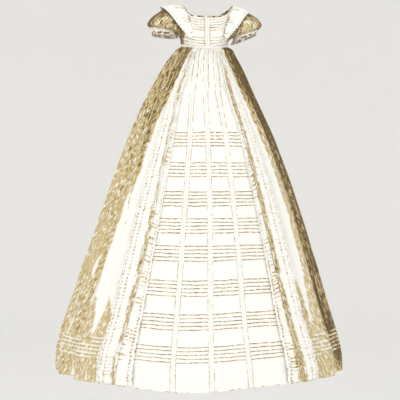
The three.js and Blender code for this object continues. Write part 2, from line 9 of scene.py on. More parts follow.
import logging
import math
from collections.abc import Callable
from dataclasses import dataclass
from enum import Enum
from functools import cache

import bpy
import numpy as np
from numpy.typing import NDArray
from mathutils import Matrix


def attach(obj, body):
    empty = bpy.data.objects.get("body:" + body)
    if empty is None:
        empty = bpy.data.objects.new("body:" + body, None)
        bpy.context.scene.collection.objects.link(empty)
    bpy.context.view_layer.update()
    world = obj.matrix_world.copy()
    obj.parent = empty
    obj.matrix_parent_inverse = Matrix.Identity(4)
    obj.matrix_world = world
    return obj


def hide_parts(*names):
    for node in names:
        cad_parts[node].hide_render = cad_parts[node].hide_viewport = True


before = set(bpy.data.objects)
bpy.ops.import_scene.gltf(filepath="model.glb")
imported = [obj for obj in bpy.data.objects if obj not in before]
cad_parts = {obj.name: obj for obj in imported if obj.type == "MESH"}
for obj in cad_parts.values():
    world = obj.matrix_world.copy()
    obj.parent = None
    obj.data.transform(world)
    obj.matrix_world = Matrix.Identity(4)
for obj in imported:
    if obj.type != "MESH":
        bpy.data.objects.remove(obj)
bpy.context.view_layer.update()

Floats = NDArray[np.float64]
Numbers = Floats | float
Whole = NDArray[np.int64]
LOG = logging.getLogger("christening_gown")
Pair = tuple[float, float]
Place = tuple[float, float, float]
MM = 0.001
BODY = "root"


# ---- small tools ----


class Side(Enum):
    """One side of the gown, as seen from in front; the value is the sign of x."""

    LEFT = -1
    RIGHT = 1

    @property
    def word(self) -> str:
        """The side's name as it stands in the names of pieces."""
        return self.name.lower()


def ease(share: Floats) -> Floats:
    """A share from 0 to 1, slowed at both ends: three times its square less twice its cube."""
    share = np.clip(share, 0.0, 1.0)
    return share * share * (3 - 2 * share)


def stack(x: Numbers, y: Numbers, z: Numbers) -> Floats:
    """Puts three arrays together as rows of three numbers, such as points."""
    return np.stack(np.broadcast_arrays(x, y, z), axis=-1)


def unit(vectors: Floats) -> Floats:
    """Each vector divided by its length."""
    return vectors / np.maximum(np.linalg.norm(vectors, axis=-1, keepdims=True), 1e-9)


def run_along(path: Floats) -> Floats:
    """The distance along a path to each of its points."""
    return np.concatenate([[0], np.cumsum(np.linalg.norm(np.diff(path, axis=0), axis=1))])


def bell(off: Floats) -> Floats:
    """A bell curve: 1 at 0, falling off both ways as e to the power of minus the square."""
    return np.exp(-(off**2))


def wave(turns: Floats) -> Floats:
    """A wave between 1 and -1: the cosine of a number of whole turns."""
    return np.cos(2 * np.pi * turns)


def noise(u: Numbers, v: Numbers, seed: int, cells: int = 128) -> Floats:
    """Smooth random values from -1 to 1.

    The value is a random number at each whole (u, v), eased between the four around a point.

    Args:
        u: Place one way; the pattern changes about once in each unit.
        v: Place the other way; either is 0 where the pattern changes one way alone.
        seed: Number that picks the pattern.
        cells: Number of units after which the pattern starts again.

    Returns:
        The value at each point.
    """
    table = np.random.default_rng(seed).uniform(-1, 1, (cells, cells))
    u, v = np.broadcast_arrays(u, v)
    i, j = np.floor(u).astype(int), np.floor(v).astype(int)
    s, t = ease(u - i), ease(v - j)
    i, j = i % cells, j % cells
    i2, j2 = (i + 1) % cells, (j + 1) % cells
    low = table[i, j] * (1 - s) + table[i2, j] * s
    high = table[i, j2] * (1 - s) + table[i2, j2] * s
    return low * (1 - t) + high * t


@dataclass(frozen=True)
class Sections:
    """A table of sizes at places along a piece, with a smooth curve through each column.

    Attributes:
        columns: Names of the columns after the first, which holds the places.
        rows: One row for each place.
    """

    columns: tuple[str, ...]
    rows: tuple[tuple[float, ...], ...]

    @classmethod
    def of(cls, columns: str, *rows: tuple[float, ...]) -> "Sections":
        """A table from the names of its columns, with spaces between them, and its rows."""
        return cls(tuple(columns.split()), rows)

    def read(self, column: str, place: Floats) -> Floats:
        """Reads a column: a cubic through each pair of rows, as steep at a row as its neighbours are apart.

        Args:
            column: Name of the column.
            place: Where to read it, as the table's first column counts.

        Returns:
            The size at each place.
        """
        table = np.array(self.rows, float)
        table = table[np.argsort(table[:, 0])]
        at, size = table[:, 0], table[:, 1 + self.columns.index(column)]
        last = len(at) - 1
        before = np.maximum(np.arange(last + 1) - 1, 0)
        after = np.minimum(np.arange(last + 1) + 1, last)
        slope = (size[after] - size[before]) / (at[after] - at[before])
        i = np.clip(np.searchsorted(at, place, side="right") - 1, 0, last - 1)
        length = at[i + 1] - at[i]
        t = np.clip((place - at[i]) / length, 0, 1)
        rise = (size[i + 1] - size[i]) / length
        bow = (1 - t) * (slope[i] - rise) - t * (slope[i + 1] - rise)
        return size[i] + (size[i + 1] - size[i]) * t + t * (1 - t) * length * bow


# ---- finishes ----


def linear(colour: str) -> tuple[float, float, float, float]:
    """Turns an sRGB colour into linear light.

    Args:
        colour: The colour in hex, after a #.

    Returns:
        Linear red, green, blue and alpha.
    """
    parts = np.array([int(colour[i : i + 2], 16) for i in (1, 3, 5)]) / 255
    light = np.where(parts <= 0.04045, parts / 12.92, ((parts + 0.055) / 1.055) ** 2.4)
    return (*light.tolist(), 1.0)


def add_node(
    tree: bpy.types.NodeTree, kind: str, sockets: dict[str | int, object], **settings: object
) -> bpy.types.Node:
    """Adds a node with its settings, and fills its sockets with values or with links.

    Args:
        tree: Node tree that it goes into.
        kind: Blender's name for the node's type, after "ShaderNode".
        sockets: A value, or another node's output, for each input socket.
        settings: Properties of the node.

    Returns:
        The node.
    """
    node = tree.nodes.new("ShaderNode" + kind)
    for name, value in settings.items():
        setattr(node, name, value)
    for name, value in sockets.items():
        if isinstance(value, bpy.types.NodeSocket):
            tree.links.new(value, node.inputs[name])
        else:
            node.inputs[name].default_value = value
    return node


# Tones at which the painted shade starts, lies even, and is at its deepest.
SHADE_STARTS, EVEN_SHADE, DEEPEST_TONE = 0.15, (0.38, 0.7), 0.96
# Length of one wave of the wave texture node at a scale of 1.
WAVE_NODE_LENGTH = 0.314


@dataclass(frozen=True)
class CottonFinish:
    """Washed white cotton, with shade painted into its colour.

    Its colour runs from unshaded cloth over the warm painted shade to the brown of the deepest painted
    shade, by the piece's tone attribute. Fine streaks along the cloth break the painted shade up. Threads
    are far finer than a render shows, 0.3 mm apart in lawn, so the weave is drawn about four times as
    coarse to show at all.

    Attributes:
        name: The cloth and how it was made.
        slot: Its material slot of the record; not used.
        unshaded: Colour of cloth without painted shade.
        shade: Colour of the painted shade.
        deep: Colour of the deepest painted shade, in the deepest folds.
        roughness: Its roughness.
        sheen: Strength of the soft light on its fibres.
        thread_mm: Distance between the drawn threads.
        weave: Strength of their relief.
        relief_mm: Height of their relief.
        streak_mm: Length to which the streaks' pattern is scaled.
        stretch: How far they are drawn out across, along and through the cloth.
        lean: Angle at which they lean, in radians.
        streak: How strongly they change the tone.
        streak_room: They grow with the square of the tone, up to this number less half the tone.
    """

    name: str
    slot: str
    unshaded: str = "#FBFAF5"
    shade: str = "#CFBB88"
    deep: str = "#6B5532"
    roughness: float = 0.88
    sheen: float = 0.15
    thread_mm: float = 1.2
    weave: float = 0.25
    relief_mm: float = 0.2
    streak_mm: float = 5.0
    stretch: Place = (0.85, 3.2, 1.0)
    lean: float = -0.4
    streak: float = 13.0
    streak_room: float = 0.585

    def build(self) -> bpy.types.Material:
        """Makes the Blender material.

        Returns:
            A material that reads the piece's own flat map and tone attribute.
        """
        material = bpy.data.materials.new(self.name)
        material.use_nodes = True
        tree = material.node_tree
        tree.nodes.clear()
        flat = add_node(tree, "UVMap", {}, uv_map="flat").outputs["UV"]
        tone = add_node(tree, "Attribute", {}, attribute_name="tone").outputs["Fac"]
        laid = {"Vector": flat, "Rotation": (0.0, 0.0, self.lean), "Scale": self.stretch}
        along = add_node(tree, "Mapping", laid, vector_type="TEXTURE").outputs["Vector"]
        drawn = {"Vector": along, "Scale": 1 / (self.streak_mm * MM), "Detail": 4.0, "Roughness": 0.65}
        streaks = add_node(tree, "TexNoise", drawn).outputs["Fac"]
        centred = add_node(tree, "Math", {0: streaks, 1: 0.5}, operation="SUBTRACT").outputs[0]
        square = add_node(tree, "Math", {0: tone, 1: tone}, operation="MULTIPLY").outputs[0]
        falling = {0: tone, 1: -0.5, 2: self.streak_room}
        room = add_node(tree, "Math", falling, operation="MULTIPLY_ADD").outputs[0]
        least = add_node(tree, "Math", {0: square, 1: room}, operation="MINIMUM").outputs[0]
        scaled = {0: least, 1: self.streak, 2: 0.03}
        reach = add_node(tree, "Math", scaled, operation="MULTIPLY_ADD").outputs[0]
        broken = {0: centred, 1: reach, 2: tone}
        toned = add_node(tree, "Math", broken, operation="MULTIPLY_ADD").outputs[0]
        ramp = add_node(tree, "ValToRGB", {"Fac": toned})
        steps = ramp.color_ramp.elements
        steps[0].color, steps[1].color = linear(self.unshaded), linear(self.deep)
        steps[0].position, steps[1].position = SHADE_STARTS, DEEPEST_TONE
        for place in EVEN_SHADE:
            steps.new(place).color = linear(self.shade)
        size = WAVE_NODE_LENGTH / (self.thread_mm * MM)
        ribs = {"Vector": flat, "Scale": size, "Distortion": 0.6, "Detail": 1.0}
        threads = [
            add_node(tree, "TexWave", ribs, bands_direction=way, wave_profile="SIN").outputs["Fac"]
            for way in ("X", "Y")
        ]
        woven = add_node(tree, "Math", dict(enumerate(threads)), operation="MAXIMUM").outputs[0]
        relief = {"Height": woven, "Strength": self.weave, "Distance": self.relief_mm * MM}
        surface = {
            "Base Color": ramp.outputs["Color"],
            "Normal": add_node(tree, "Bump", relief).outputs["Normal"],
            "Roughness": self.roughness,
            "Sheen Weight": self.sheen,
            "Sheen Roughness": 0.5,
            "Specular IOR Level": 0.25,
        }
        shader = add_node(tree, "BsdfPrincipled", surface)
        add_node(tree, "OutputMaterial", {"Surface": shader.outputs["BSDF"]})
        return material


# Plain woven lawn: matt, soft and even, the body of the gown.
LAWN = CottonFinish("cotton lawn, woven and starched", "cotton_lawn")
# Satin-stitched insertion: denser and a little shinier where thread covers the cloth.
INSERTION = CottonFinish(
    "broderie anglaise insertion, satin-stitched",
    "whitework_insertion",
    roughness=0.7,
    sheen=0.25,
    thread_mm=1.6,
    weave=0.4,
)
# Embroidered edging: the same stitches on a softer gathered cloth.
EDGING = CottonFinish(
    "broderie anglaise edging, satin-stitched",
    "whitework_edging",
    roughness=0.75,
    sheen=0.25,
    thread_mm=1.6,
    weave=0.35,
)
# Woven tape: tighter threads and a crisper fold.
TAPE = CottonFinish("cotton tape, woven and folded", "cotton_tape", roughness=0.8, thread_mm=0.9, weave=0.4)
# Thread wound over a ring: glossier than cloth.
THREAD = CottonFinish(
    "cotton thread, wound over a ring", "thread_button", roughness=0.6, sheen=0.3, thread_mm=0.7, weave=0.6
)


@cache
def material_of(finish: CottonFinish) -> bpy.types.Material:
    """The material of a finish, made once."""
    return finish.build()


# ---- cloth as arrays ----


def grid_faces(rows: int, columns: int, closed: bool = False) -> Whole:
    """The four-sided faces of a grid of numbered points.

    Args:
        rows: Number of rows of points.
        columns: Number of points in a row.
        closed: Whether each row's last point joins its first.

    Returns:
        One row of four point numbers for each face.
    """
    i = np.arange(rows - 1)[:, None] * columns
    j = np.arange(columns if closed else columns - 1)[None, :]
    k = (j + 1) % columns
    faces = np.stack([i + j, i + k, i + columns + k, i + columns + j], axis=-1)
    return faces.reshape(-1, 4)


@dataclass
class Cloth:
    """One piece of cloth as arrays.

    Attributes:
        points: Its points.
        faces: Four point numbers for each face.
        flat: Each point's place on the flat cloth, in metres.
        tone: Each point's painted shade, from none at 0 to the deepest at 1.
    """

    points: Floats
    faces: Whole
    flat: Floats
    tone: Floats

    @classmethod
    def grid(
        cls, points: Floats, across: Floats, down: Floats, tone: Floats, closed: bool = False
    ) -> "Cloth":
        """Makes cloth from a grid of points.

        Args:
            points: Points by row and column.
            across: Each point's place across the flat cloth.
            down: Each point's place down the flat cloth.
            tone: Each point's tone.
            closed: Whether the grid closes into a ring.

        Returns:
            The cloth.
        """
        shape = points.shape[:2]
        across, down, tone = (np.broadcast_to(value, shape).ravel() for value in (across, down, tone))
        flat = np.stack([across, down], axis=-1) * MM
        return cls(points.reshape(-1, 3), grid_faces(*shape, closed), flat, tone)

    def facing_out(self, inside: tuple[float, float, float | None] = (0.0, 0.0, None)) -> "Cloth":
        """Turns the faces so that most of them face away from a point, or from an upright line.

        Args:
            inside: The point; its height is None for the whole upright line, as down the gown's middle.

        Returns:
            The same cloth.
        """
        a, b, c, d = (self.points[self.faces[:, i]] for i in range(4))
        centre = (a + b + c + d) / 4
        height = centre[:, 2] if inside[2] is None else inside[2]
        outward = centre - stack(inside[0], inside[1], height)
        if np.sum(np.cross(c - a, d - b) * outward) < 0:
            self.faces = self.faces[:, ::-1]
        return self


@dataclass(frozen=True)
class Cut:
    """How a piece was cut and is held, and what it stands for.

    Attributes:
        node: Solid that the piece replaces.
        flat: Width and length of the flat cloth, in metres, or None for what is no sheet; not used.
        held: How the cloth is held; not used.
        area: Flat area in square metres where the cut is no rectangle; not used.
        on: What it hangs from or lies on, which is the waist for most pieces; not used.
    """

    node: str
    flat: Pair | None
    held: str = "gathered"
    area: float | None = None
    on: str = "waist_binding"


def sew(name: str, cloth: Cloth, finish: CottonFinish, cut: Cut, thick: float = 0.4) -> bpy.types.Object:
    """Args:
        name: Name of the piece.
        cloth: Its arrays.
        finish: Its finish.
        cut: How it was cut and what it stands for.
        thick: Thickness of the cloth, or 0 for a shape that is closed already.

    Returns:
        The object.
    """
    mesh = bpy.data.meshes.new(name)
    count = len(cloth.faces)
    mesh.vertices.add(len(cloth.points))
    mesh.vertices.foreach_set("co", (cloth.points * MM).astype(np.float32).ravel())
    mesh.loops.add(count * 4)
    mesh.loops.foreach_set("vertex_index", cloth.faces.astype(np.int32).ravel())
    mesh.polygons.add(count)
    mesh.polygons.foreach_set("loop_start", np.arange(0, count * 4, 4, dtype=np.int32))
    mesh.polygons.foreach_set("use_smooth", np.ones(count, bool))
    mesh.update(calc_edges=True)
    layer = mesh.uv_layers.new(name="flat")
    layer.data.foreach_set("uv", cloth.flat[cloth.faces.ravel()].astype(np.float32).ravel())
    tone = mesh.attributes.new("tone", "FLOAT", "POINT")
    tone.data.foreach_set("value", np.clip(cloth.tone, 0, 1).astype(np.float32))
    mesh.validate()
    mesh.materials.append(material_of(finish))
    piece = bpy.data.objects.new(name, mesh)
    bpy.context.scene.collection.objects.link(piece)
    if thick:
        wall = piece.modifiers.new("cloth thickness", "SOLIDIFY")
        wall.thickness = thick * MM
        wall.offset = -1.0
    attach(piece, BODY)
    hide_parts(cut.node)
    LOG.info("%s: %d points, %d faces", name, len(cloth.points), count)
    return piece


# ---- whitework ----


@dataclass(frozen=True)
class Band:
    """One band across a strip of whitework, which starts where the band before it ends.

    Attributes:
        end: Where it ends, as a share of the strip's width.
        rows: Its rows of faces, if it is plain.
        eyelet: Radius of its eyelets, if it has a row of them.
    """

    end: float
    rows: int = 1
    eyelet: float = 0.0


# Faces along each side of an eyelet's square tile, and along one repeat of a plain band.
TILE_STEPS = 3


@dataclass
class Layout:
    """A strip of whitework laid flat.

    Attributes:
        along: Each point's place along it, in repeats.
        across: Its place across it, as a share of the width.
        raised: How far stitches raise it.
        rim: How near it is to an eyelet, from 0 to 1, by which shade is painted round the eyelets.
        faces: Four point numbers for each face.
    """

    along: Floats
    across: Floats
    raised: Floats
    rim: Floats
    faces: Whole

    def near_lines(self, off_middle: float, wide: float) -> Floats:
        """How near points are to two lines along the strip: 1 on them, falling evenly to 0 beside them."""
        return np.clip(1 - np.abs(np.abs(self.across - 0.5) - off_middle) / wide, 0, 1)

    def cloth(self, points: Floats, across: Floats, along: Floats, tone: Floats) -> Cloth:
        """The cloth of the strip, from its points, their places on the flat and their tones."""
        return Cloth(points, self.faces, np.stack([across, along], axis=-1) * MM, tone)


@dataclass(frozen=True)
class Openwork:
    """A repeating strip of broderie anglaise: eyelets with stitched rims between plain bands.

    Attributes:
        repeats: Number of eyelets along the strip.
        pitch: Length of one repeat.
        bands: The bands, side by side from 0 to 1 across the strip.
        rim: Width of an eyelet's stitched rim.
        closed: Whether the strip's end joins its start.
    """

    repeats: int
    pitch: float
    bands: tuple[Band, ...]
    rim: float = 0.9
    closed: bool = False

    @classmethod
    def along(cls, length: float, pitch: float, bands: tuple[Band, ...], rim: float = 0.9) -> "Openwork":
        """A strip with as many whole repeats as bring them nearest to a pitch."""
        repeats = round(length / pitch)
        return cls(repeats, length / repeats, bands, rim)

    @property
    def middles(self) -> Floats:
        """Distance along the strip of the middle of each repeat."""
        return (np.arange(self.repeats) + 0.5) * self.pitch

    def plain(self, band: Band, start: float) -> Layout:
        """A plain band: a grid with as many faces to a repeat as an eyelet's tile has to a side.

        Args:
            band: The band.
            start: Where it starts, as a share of the width.

        Returns:
            The band laid flat.
        """
        along = np.arange(TILE_STEPS * self.repeats + 1) / TILE_STEPS
        across = np.linspace(start, band.end, band.rows + 1)
        a, b = np.meshgrid(along, across, indexing="ij")
        none = np.zeros(a.size)
        return Layout(a.ravel(), b.ravel(), none, none, grid_faces(*a.shape))

    def eyelets(self, band: Band, start: float, widths: Floats) -> Layout:
        """A band of tiles with a round hole in each.

        The points round each tile's edge are joined to as many on each of three circles: the rim's foot,
        its top, and the hole. Where a tile is narrow, its hole and rim are narrower.

        Args:
            band: The band.
            start: Where it starts, as a share of the width.
            widths: The strip's width at each repeat.

        Returns:
            The tiles, side by side.
        """
        step, none, one = np.arange(TILE_STEPS) / TILE_STEPS, np.zeros(TILE_STEPS), np.ones(TILE_STEPS)
        edge = np.stack(
            [np.concatenate([step, one, 1 - step, none]), np.concatenate([none, step, one, 1 - step])], axis=1
        )
        high = widths * (band.end - start)
        size = np.stack([np.full_like(high, self.pitch), high], -1)[:, None, :]
        way = unit((edge - 0.5)[None] * size)
        room = np.minimum(high, self.pitch) / 2
        hole = np.minimum(band.eyelet, room * 0.55)
        rim = np.minimum(self.rim, room * 0.35)
        circles = [0.5 + way * (hole + rim * part)[:, None, None] / size for part in (1.0, 0.5, 0.0)]
        rings = np.stack([np.broadcast_to(edge, way.shape), *circles], axis=1)
        along = rings[..., 0] + np.arange(self.repeats)[:, None, None]
        across = start + (band.end - start) * rings[..., 1]
        raised, near = (
            np.broadcast_to(np.array(rings_of)[None, :, None], along.shape)
            for rings_of in ((0, 0.1, 0.55, 0.1), (0, 0.35, 0.2, 1.0))
        )
        circled, around = rings.shape[1:3]
        tile = grid_faces(circled, around, closed=True)[:, ::-1]
        faces = tile[None] + (np.arange(self.repeats) * circled * around)[:, None, None]
        return Layout(along.ravel(), across.ravel(), raised.ravel(), near.ravel(), faces.reshape(-1, 4))

    def lay(self, widths: Floats) -> Layout:
        """Lays all the bands side by side and joins the points that they share.

        Args:
            widths: The strip's width at each repeat.

        Returns:
            The whole strip.
        """
        edges = zip(self.bands, (0, *(band.end for band in self.bands)))
        parts = [self.eyelets(b, edge, widths) if b.eyelet else self.plain(b, edge) for b, edge in edges]
        starts = np.cumsum([0, *(len(p.along) for p in parts[:-1])])
        along, across, raised, rim = (
            np.concatenate([getattr(p, name) for p in parts]) for name in ("along", "across", "raised", "rim")
        )
        faces = np.concatenate([p.faces + start for p, start in zip(parts, starts)])
        turn = np.mod(along, self.repeats) if self.closed else along
        keys = np.round(np.stack([turn * 1e4, across * 1e6], axis=1)).astype(np.int64)
        _, first, merged = np.unique(keys, axis=0, return_index=True, return_inverse=True)
        faces = merged.reshape(-1)[faces]
        return Layout(along[first], across[first], raised[first], rim[first], faces)


# An insertion: a row of small eyelets between two narrow bars and two seam edges.
INSERTION_BANDS = (Band(0.05), Band(0.13), Band(0.87, eyelet=0.9), Band(0.95), Band(1))
# Where its two seams lie from its middle and how wide they are, as shares of its width.
INSERTION_SEAMS = (0.45, 0.09)


# ---- folds, gathers and tucks ----


# Height of a rolled hem.
HEM_ROLL = 2.4


@dataclass(frozen=True)
class MainFolds:
    """The large folds of a width.

    Attributes:
        at: Shares of the way across.
        depth: The dip at each of them, as a share of the skirt's half width.
    """

    at: tuple[float, ...]
    depth: tuple[float, ...]

    def dip(self, across: Floats) -> Floats:
        """The dip of the folds, eased from each of their places to the next.

        Args:
            across: Share of the way across.

        Returns:
            The dip there.
        """
        at, depth = np.array(self.at), np.array(self.depth)
        i = np.clip(np.searchsorted(at, across, side="right") - 1, 0, len(at) - 2)
        share = ease((across - at[i]) / (at[i + 1] - at[i]))
        return depth[i] + (depth[i + 1] - depth[i]) * share


@dataclass(frozen=True)
class Gathers:
    """Soft troughs that run down from a gathered seam, each with its own place, depth and length.

    Attributes:
        count: Number of troughs across the width.
        depth: Least and greatest depth, as a share of the distance between troughs.
        reach: Least and greatest length over which a trough fades.
        seed: Number that picks the places.
        uneven: How far a trough may lie from its even place, as a share of the distance between two.
        wide: Least and greatest half width of a trough, as such a share.
        drift: How far a trough wanders, as such a share, over the length `drift_over`.
        drift_over: That length.
    """

    count: int
    depth: Pair
    reach: Pair
    seed: int
    uneven: float = 0.28
    wide: Pair = (0.2, 0.34)
    drift: float = 0.25
    drift_over: float = 850.0

    def trough(self, across: Floats, down: Floats) -> Floats:
        """The depth of the gathers, as a share of the distance between them.

        It is a sum of bell curves across the width. Each one's height falls off down the cloth with its own
        length, and its place drifts a little.

        Args:
            across: Share of the way across the width.
            down: Distance below the seam.

        Returns:
            The depth at each point.
        """
        rng = np.random.default_rng(self.seed)
        n = self.count
        place = (np.arange(n) + 0.5 + rng.uniform(-self.uneven, self.uneven, n)) / n
        depth = rng.uniform(*self.depth, n)
        reach = rng.uniform(*self.reach, n)
        drift = rng.normal(0, self.drift / n, n)
        wide = rng.uniform(*self.wide, n) / n
        across, down = across[..., None], down[..., None]
        off = (across - place - drift * down / self.drift_over) / wide
        return np.sum(depth * np.exp(-down / reach - off**2), axis=-1)


@dataclass(frozen=True)
class Tucks:
    """A group of tucks across a panel: each is a fold laid down over its own stitching.

    Attributes:
        top: Height of the uppermost fold's edge.
        count: Number of tucks.
        pitch: Distance between them.
        stand: How far a fold's edge stands off the cloth.
        line: Width of the shaded step under a fold.
        profile: Share of `stand`, and painted shade, of each of a fold's rows from the top down.
    """

    top: float
    count: int
    pitch: float
    stand: float = 1.6
    line: float = 1.9
    profile: tuple[tuple[float, ...], ...] = (
        (0.04, 0.55, 0.95, 1, 0.1, 0.04, 0.04),
        (0, 0, 0, 0.1, 0.95, 0.65, 0),
    )

    def rows(self) -> Floats:
        """The rows that shape the group.

        Each tuck slopes out to its fold's edge and drops back under it, where the cloth is shaded.

        Returns:
            Height, distance off the cloth, and tone of each row, from the top down.
        """
        edge = self.top - np.arange(self.count)[:, None] * self.pitch
        above = (self.pitch - self.line - 0.9, self.pitch * 0.45, 0.7)
        below = (-0.3, -self.line, -self.line - 0.6)
        share, tone = np.array(self.profile)
        return stack(edge + np.array([*above, 0, *below]), self.stand * share, tone).reshape(-1, 3)


@dataclass(frozen=True)
class TuckedRows:
    """The rows of a panel with groups of tucks, with plain rows between them.

    Attributes:
        groups: The groups of tucks.
        top: Height of the panel's top edge.
        foot: Height of its lower edge.
        step: Distance between plain rows.
        gathered: Greatest length under the top edge where rows lie closer.
        hem: Height of the rolled hem, with a row at its top and its middle.
    """

    groups: tuple[Tucks, ...]
    top: float
    foot: float
    step: float = 9.0
    gathered: float = 60.0
    hem: float = HEM_ROLL

    def rows(self) -> Floats:
        """The groups' rows, and plain rows wherever no group lies.

        Returns:
            Height, distance off the cloth, and tone: each a column with the rows from the top down.
        """
        near = self.top - np.linspace(0, 1, 12) ** 1.4 * min(self.gathered, (self.top - self.foot) * 0.4)
        far = np.linspace(near[-1], self.foot, max(3, round((near[-1] - self.foot) / self.step)))
        plain = np.unique(np.concatenate([near, far, self.foot + self.hem * np.array([0.5, 1])]))
        for g in self.groups:
            low, high = g.top - (g.count - 1) * g.pitch - g.line - 1.5, g.top + g.pitch
            plain = plain[(plain < low) | (plain > high)]
        every = np.concatenate([stack(plain, 0.0, 0.0), *(g.rows() for g in self.groups)])
        return every[np.argsort(-every[:, 0])].T[:, :, None]


# ---- skirt ----


@dataclass(frozen=True)
class SkirtForm:
    """The outside of the skirt before its folds: an oval at each height.

    Attributes:
        waist: Height of the waist seam in front.
        hem: Height of the hem at the sides and back.
        rise: How much higher the waist seam is at the sides.
        sag: How much lower the hem hangs at its lowest place.
        sag_at: Angle of that place from the centre front.
        sag_wide: Half its width.
        gather_pitch: Angle from one small gather of the waist to the next.
        ovals: Half width, half depth and sideways lean of the oval at each height.
    """

    waist: float = -124.0
    hem: float = -979.0
    rise: float = 11.0
    sag: float = 12.0
    sag_at: float = -8.0
    sag_wide: float = 20.0
    gather_pitch: float = 2.7
    ovals: Sections = Sections.of(
        "wide deep lean",
        (-124, 62.5, 54, -7.5),
        (-131, 75, 67, -7),
        (-147, 87, 77, -10),
        (-180, 109.7, 99, -12.7),
        (-260, 154, 133, -17),
        (-360, 199, 171, -15),
        (-500, 251, 213, -15),
        (-650, 301, 253, -17),
        (-800, 348, 289, -20),
        (-880, 374, 309, -21),
        (-930, 386, 318, -20),
        (-979, 388, 321, -19),
    )

    def share(self, z: Floats) -> Floats:
        """How far down the skirt a height is, from 0 at the waist to 1 at the hem."""
        return np.clip((self.waist - z) / (self.waist - self.hem), 0, 1)

    def point(self, angle: Floats, z: Floats) -> Floats:
        """The point of the oval, with the sag in front and the rise at the sides.

        Args:
            angle: Angle from the centre front.
            z: Height.

        Returns:
            The points.
        """
        a = np.radians(angle)
        sag = self.sag * self.share(z) ** 3 * bell((angle - self.sag_at) / self.sag_wide)
        rise = self.rise * np.sin(a) ** 2 * (1 - ease((self.waist - z) / 130))
        x = self.ovals.read("lean", z) + self.ovals.read("wide", z) * np.sin(a)
        return stack(x, -self.ovals.read("deep", z) * np.cos(a), z - sag + rise)

    def off(self, angle: Floats, z: Floats, out: Floats) -> Floats:
        """The point moved off the oval along the surface's normal, which crosses its two directions.

        Args:
            angle: Angle from the centre front.
            z: Height.
            out: Distance off the oval.

        Returns:
            The points.
        """
        round_it = self.point(angle + 0.5, z) - self.point(angle - 0.5, z)
        up_it = self.point(angle, z + 1) - self.point(angle, z - 1)
        return self.point(angle, z) + unit(np.cross(round_it, up_it)) * np.asarray(out)[..., None]

    def radius(self, angle: Numbers, z: Floats) -> Floats:
        """Millimetres of cloth for each radian round the oval."""
        a = np.radians(angle)
        return np.hypot(self.ovals.read("wide", z) * np.cos(a), self.ovals.read("deep", z) * np.sin(a))

    def span(self, angle: float, z: Floats, length: Numbers) -> Floats:
        """The angle that a length takes up at an angle and height."""
        return np.degrees(length / self.radius(angle, z))

    def gather_wave(self, angle: Floats, z: Floats) -> Floats:
        """A wave round the waist: 1 on each small gather and -1 between two, with an uneven pitch."""
        return wave((angle + 0.5 * noise(angle / 5, z / 60, 9)) / self.gather_pitch)

    def ease_of_cloth(self, angle: Floats, z: Floats) -> Floats:
        """How the laid cloth lifts and sinks: long soft swells, and small gathers under the waist seam.

        Args:
            angle: Angle from the centre front.
            z: Height.

        Returns:
            How far it lifts.
        """
        down = self.waist - z
        swell = 1.3 * noise(angle / 8, z / 120, 5) * ease(down / 120)
        return swell + 0.8 * self.gather_wave(angle, z) * np.exp(-down / 55) * ease(down / 8)

    def painted_hem_shade(self, angle: Floats, z: Floats) -> Floats:
        """The painted shade along the rolled hem: short dashes along its edge."""
        on_hem = ease(2 * (self.hem + HEM_ROLL - z) / HEM_ROLL)
        return 0.7 * on_hem * ease(0.5 + 1.3 * noise(angle / 1.1, 0, 51))


@dataclass(frozen=True)
class FrontPlan:
    """Where each piece of the front lies, and how wide its trimmings are.

    Attributes:
        places: Angle from the centre front of the middle of the side strips, the free edge of the inner
            ruffles, the middle of the heading bands, and the free edge of the outer ruffles.
        strip_wide: Width of an insertion strip.
        strip_wide_top: Its width at the waist.
        band_wide: Width of a heading band.
        band_wide_top: Its width at the waist.
    """

    places: Sections = Sections.of(
        "strip panel heading ruffle",
        (-124, 17.5, 23.5, 27, 31),
        (-180, 13.7, 22.5, 27, 33),
        (-360, 13.2, 24.5, 29, 38.5),
        (-580, 13.4, 26.5, 31.5, 41.5),
        (-820, 13.6, 28, 34.7, 42.6),
        (-979, 14.2, 29.5, 38, 45.4),
    )
    strip_wide: float = 13.4
    strip_wide_top: float = 9.0
    band_wide: float = 14.0
    band_wide_top: float = 6.0

    def strip_width(self, z: Floats, waist: float) -> Floats:
        """Width of an insertion strip, which the gathers narrow at the waist."""
        return self.strip_wide_top + (self.strip_wide - self.strip_wide_top) * ease((waist - z) / 60)

    def band_width(self, share: Floats) -> Floats:
        """Width of the heading band a share of the way down."""
        return self.band_wide_top + (self.band_wide - self.band_wide_top) * np.minimum(1, 1.4 * share)


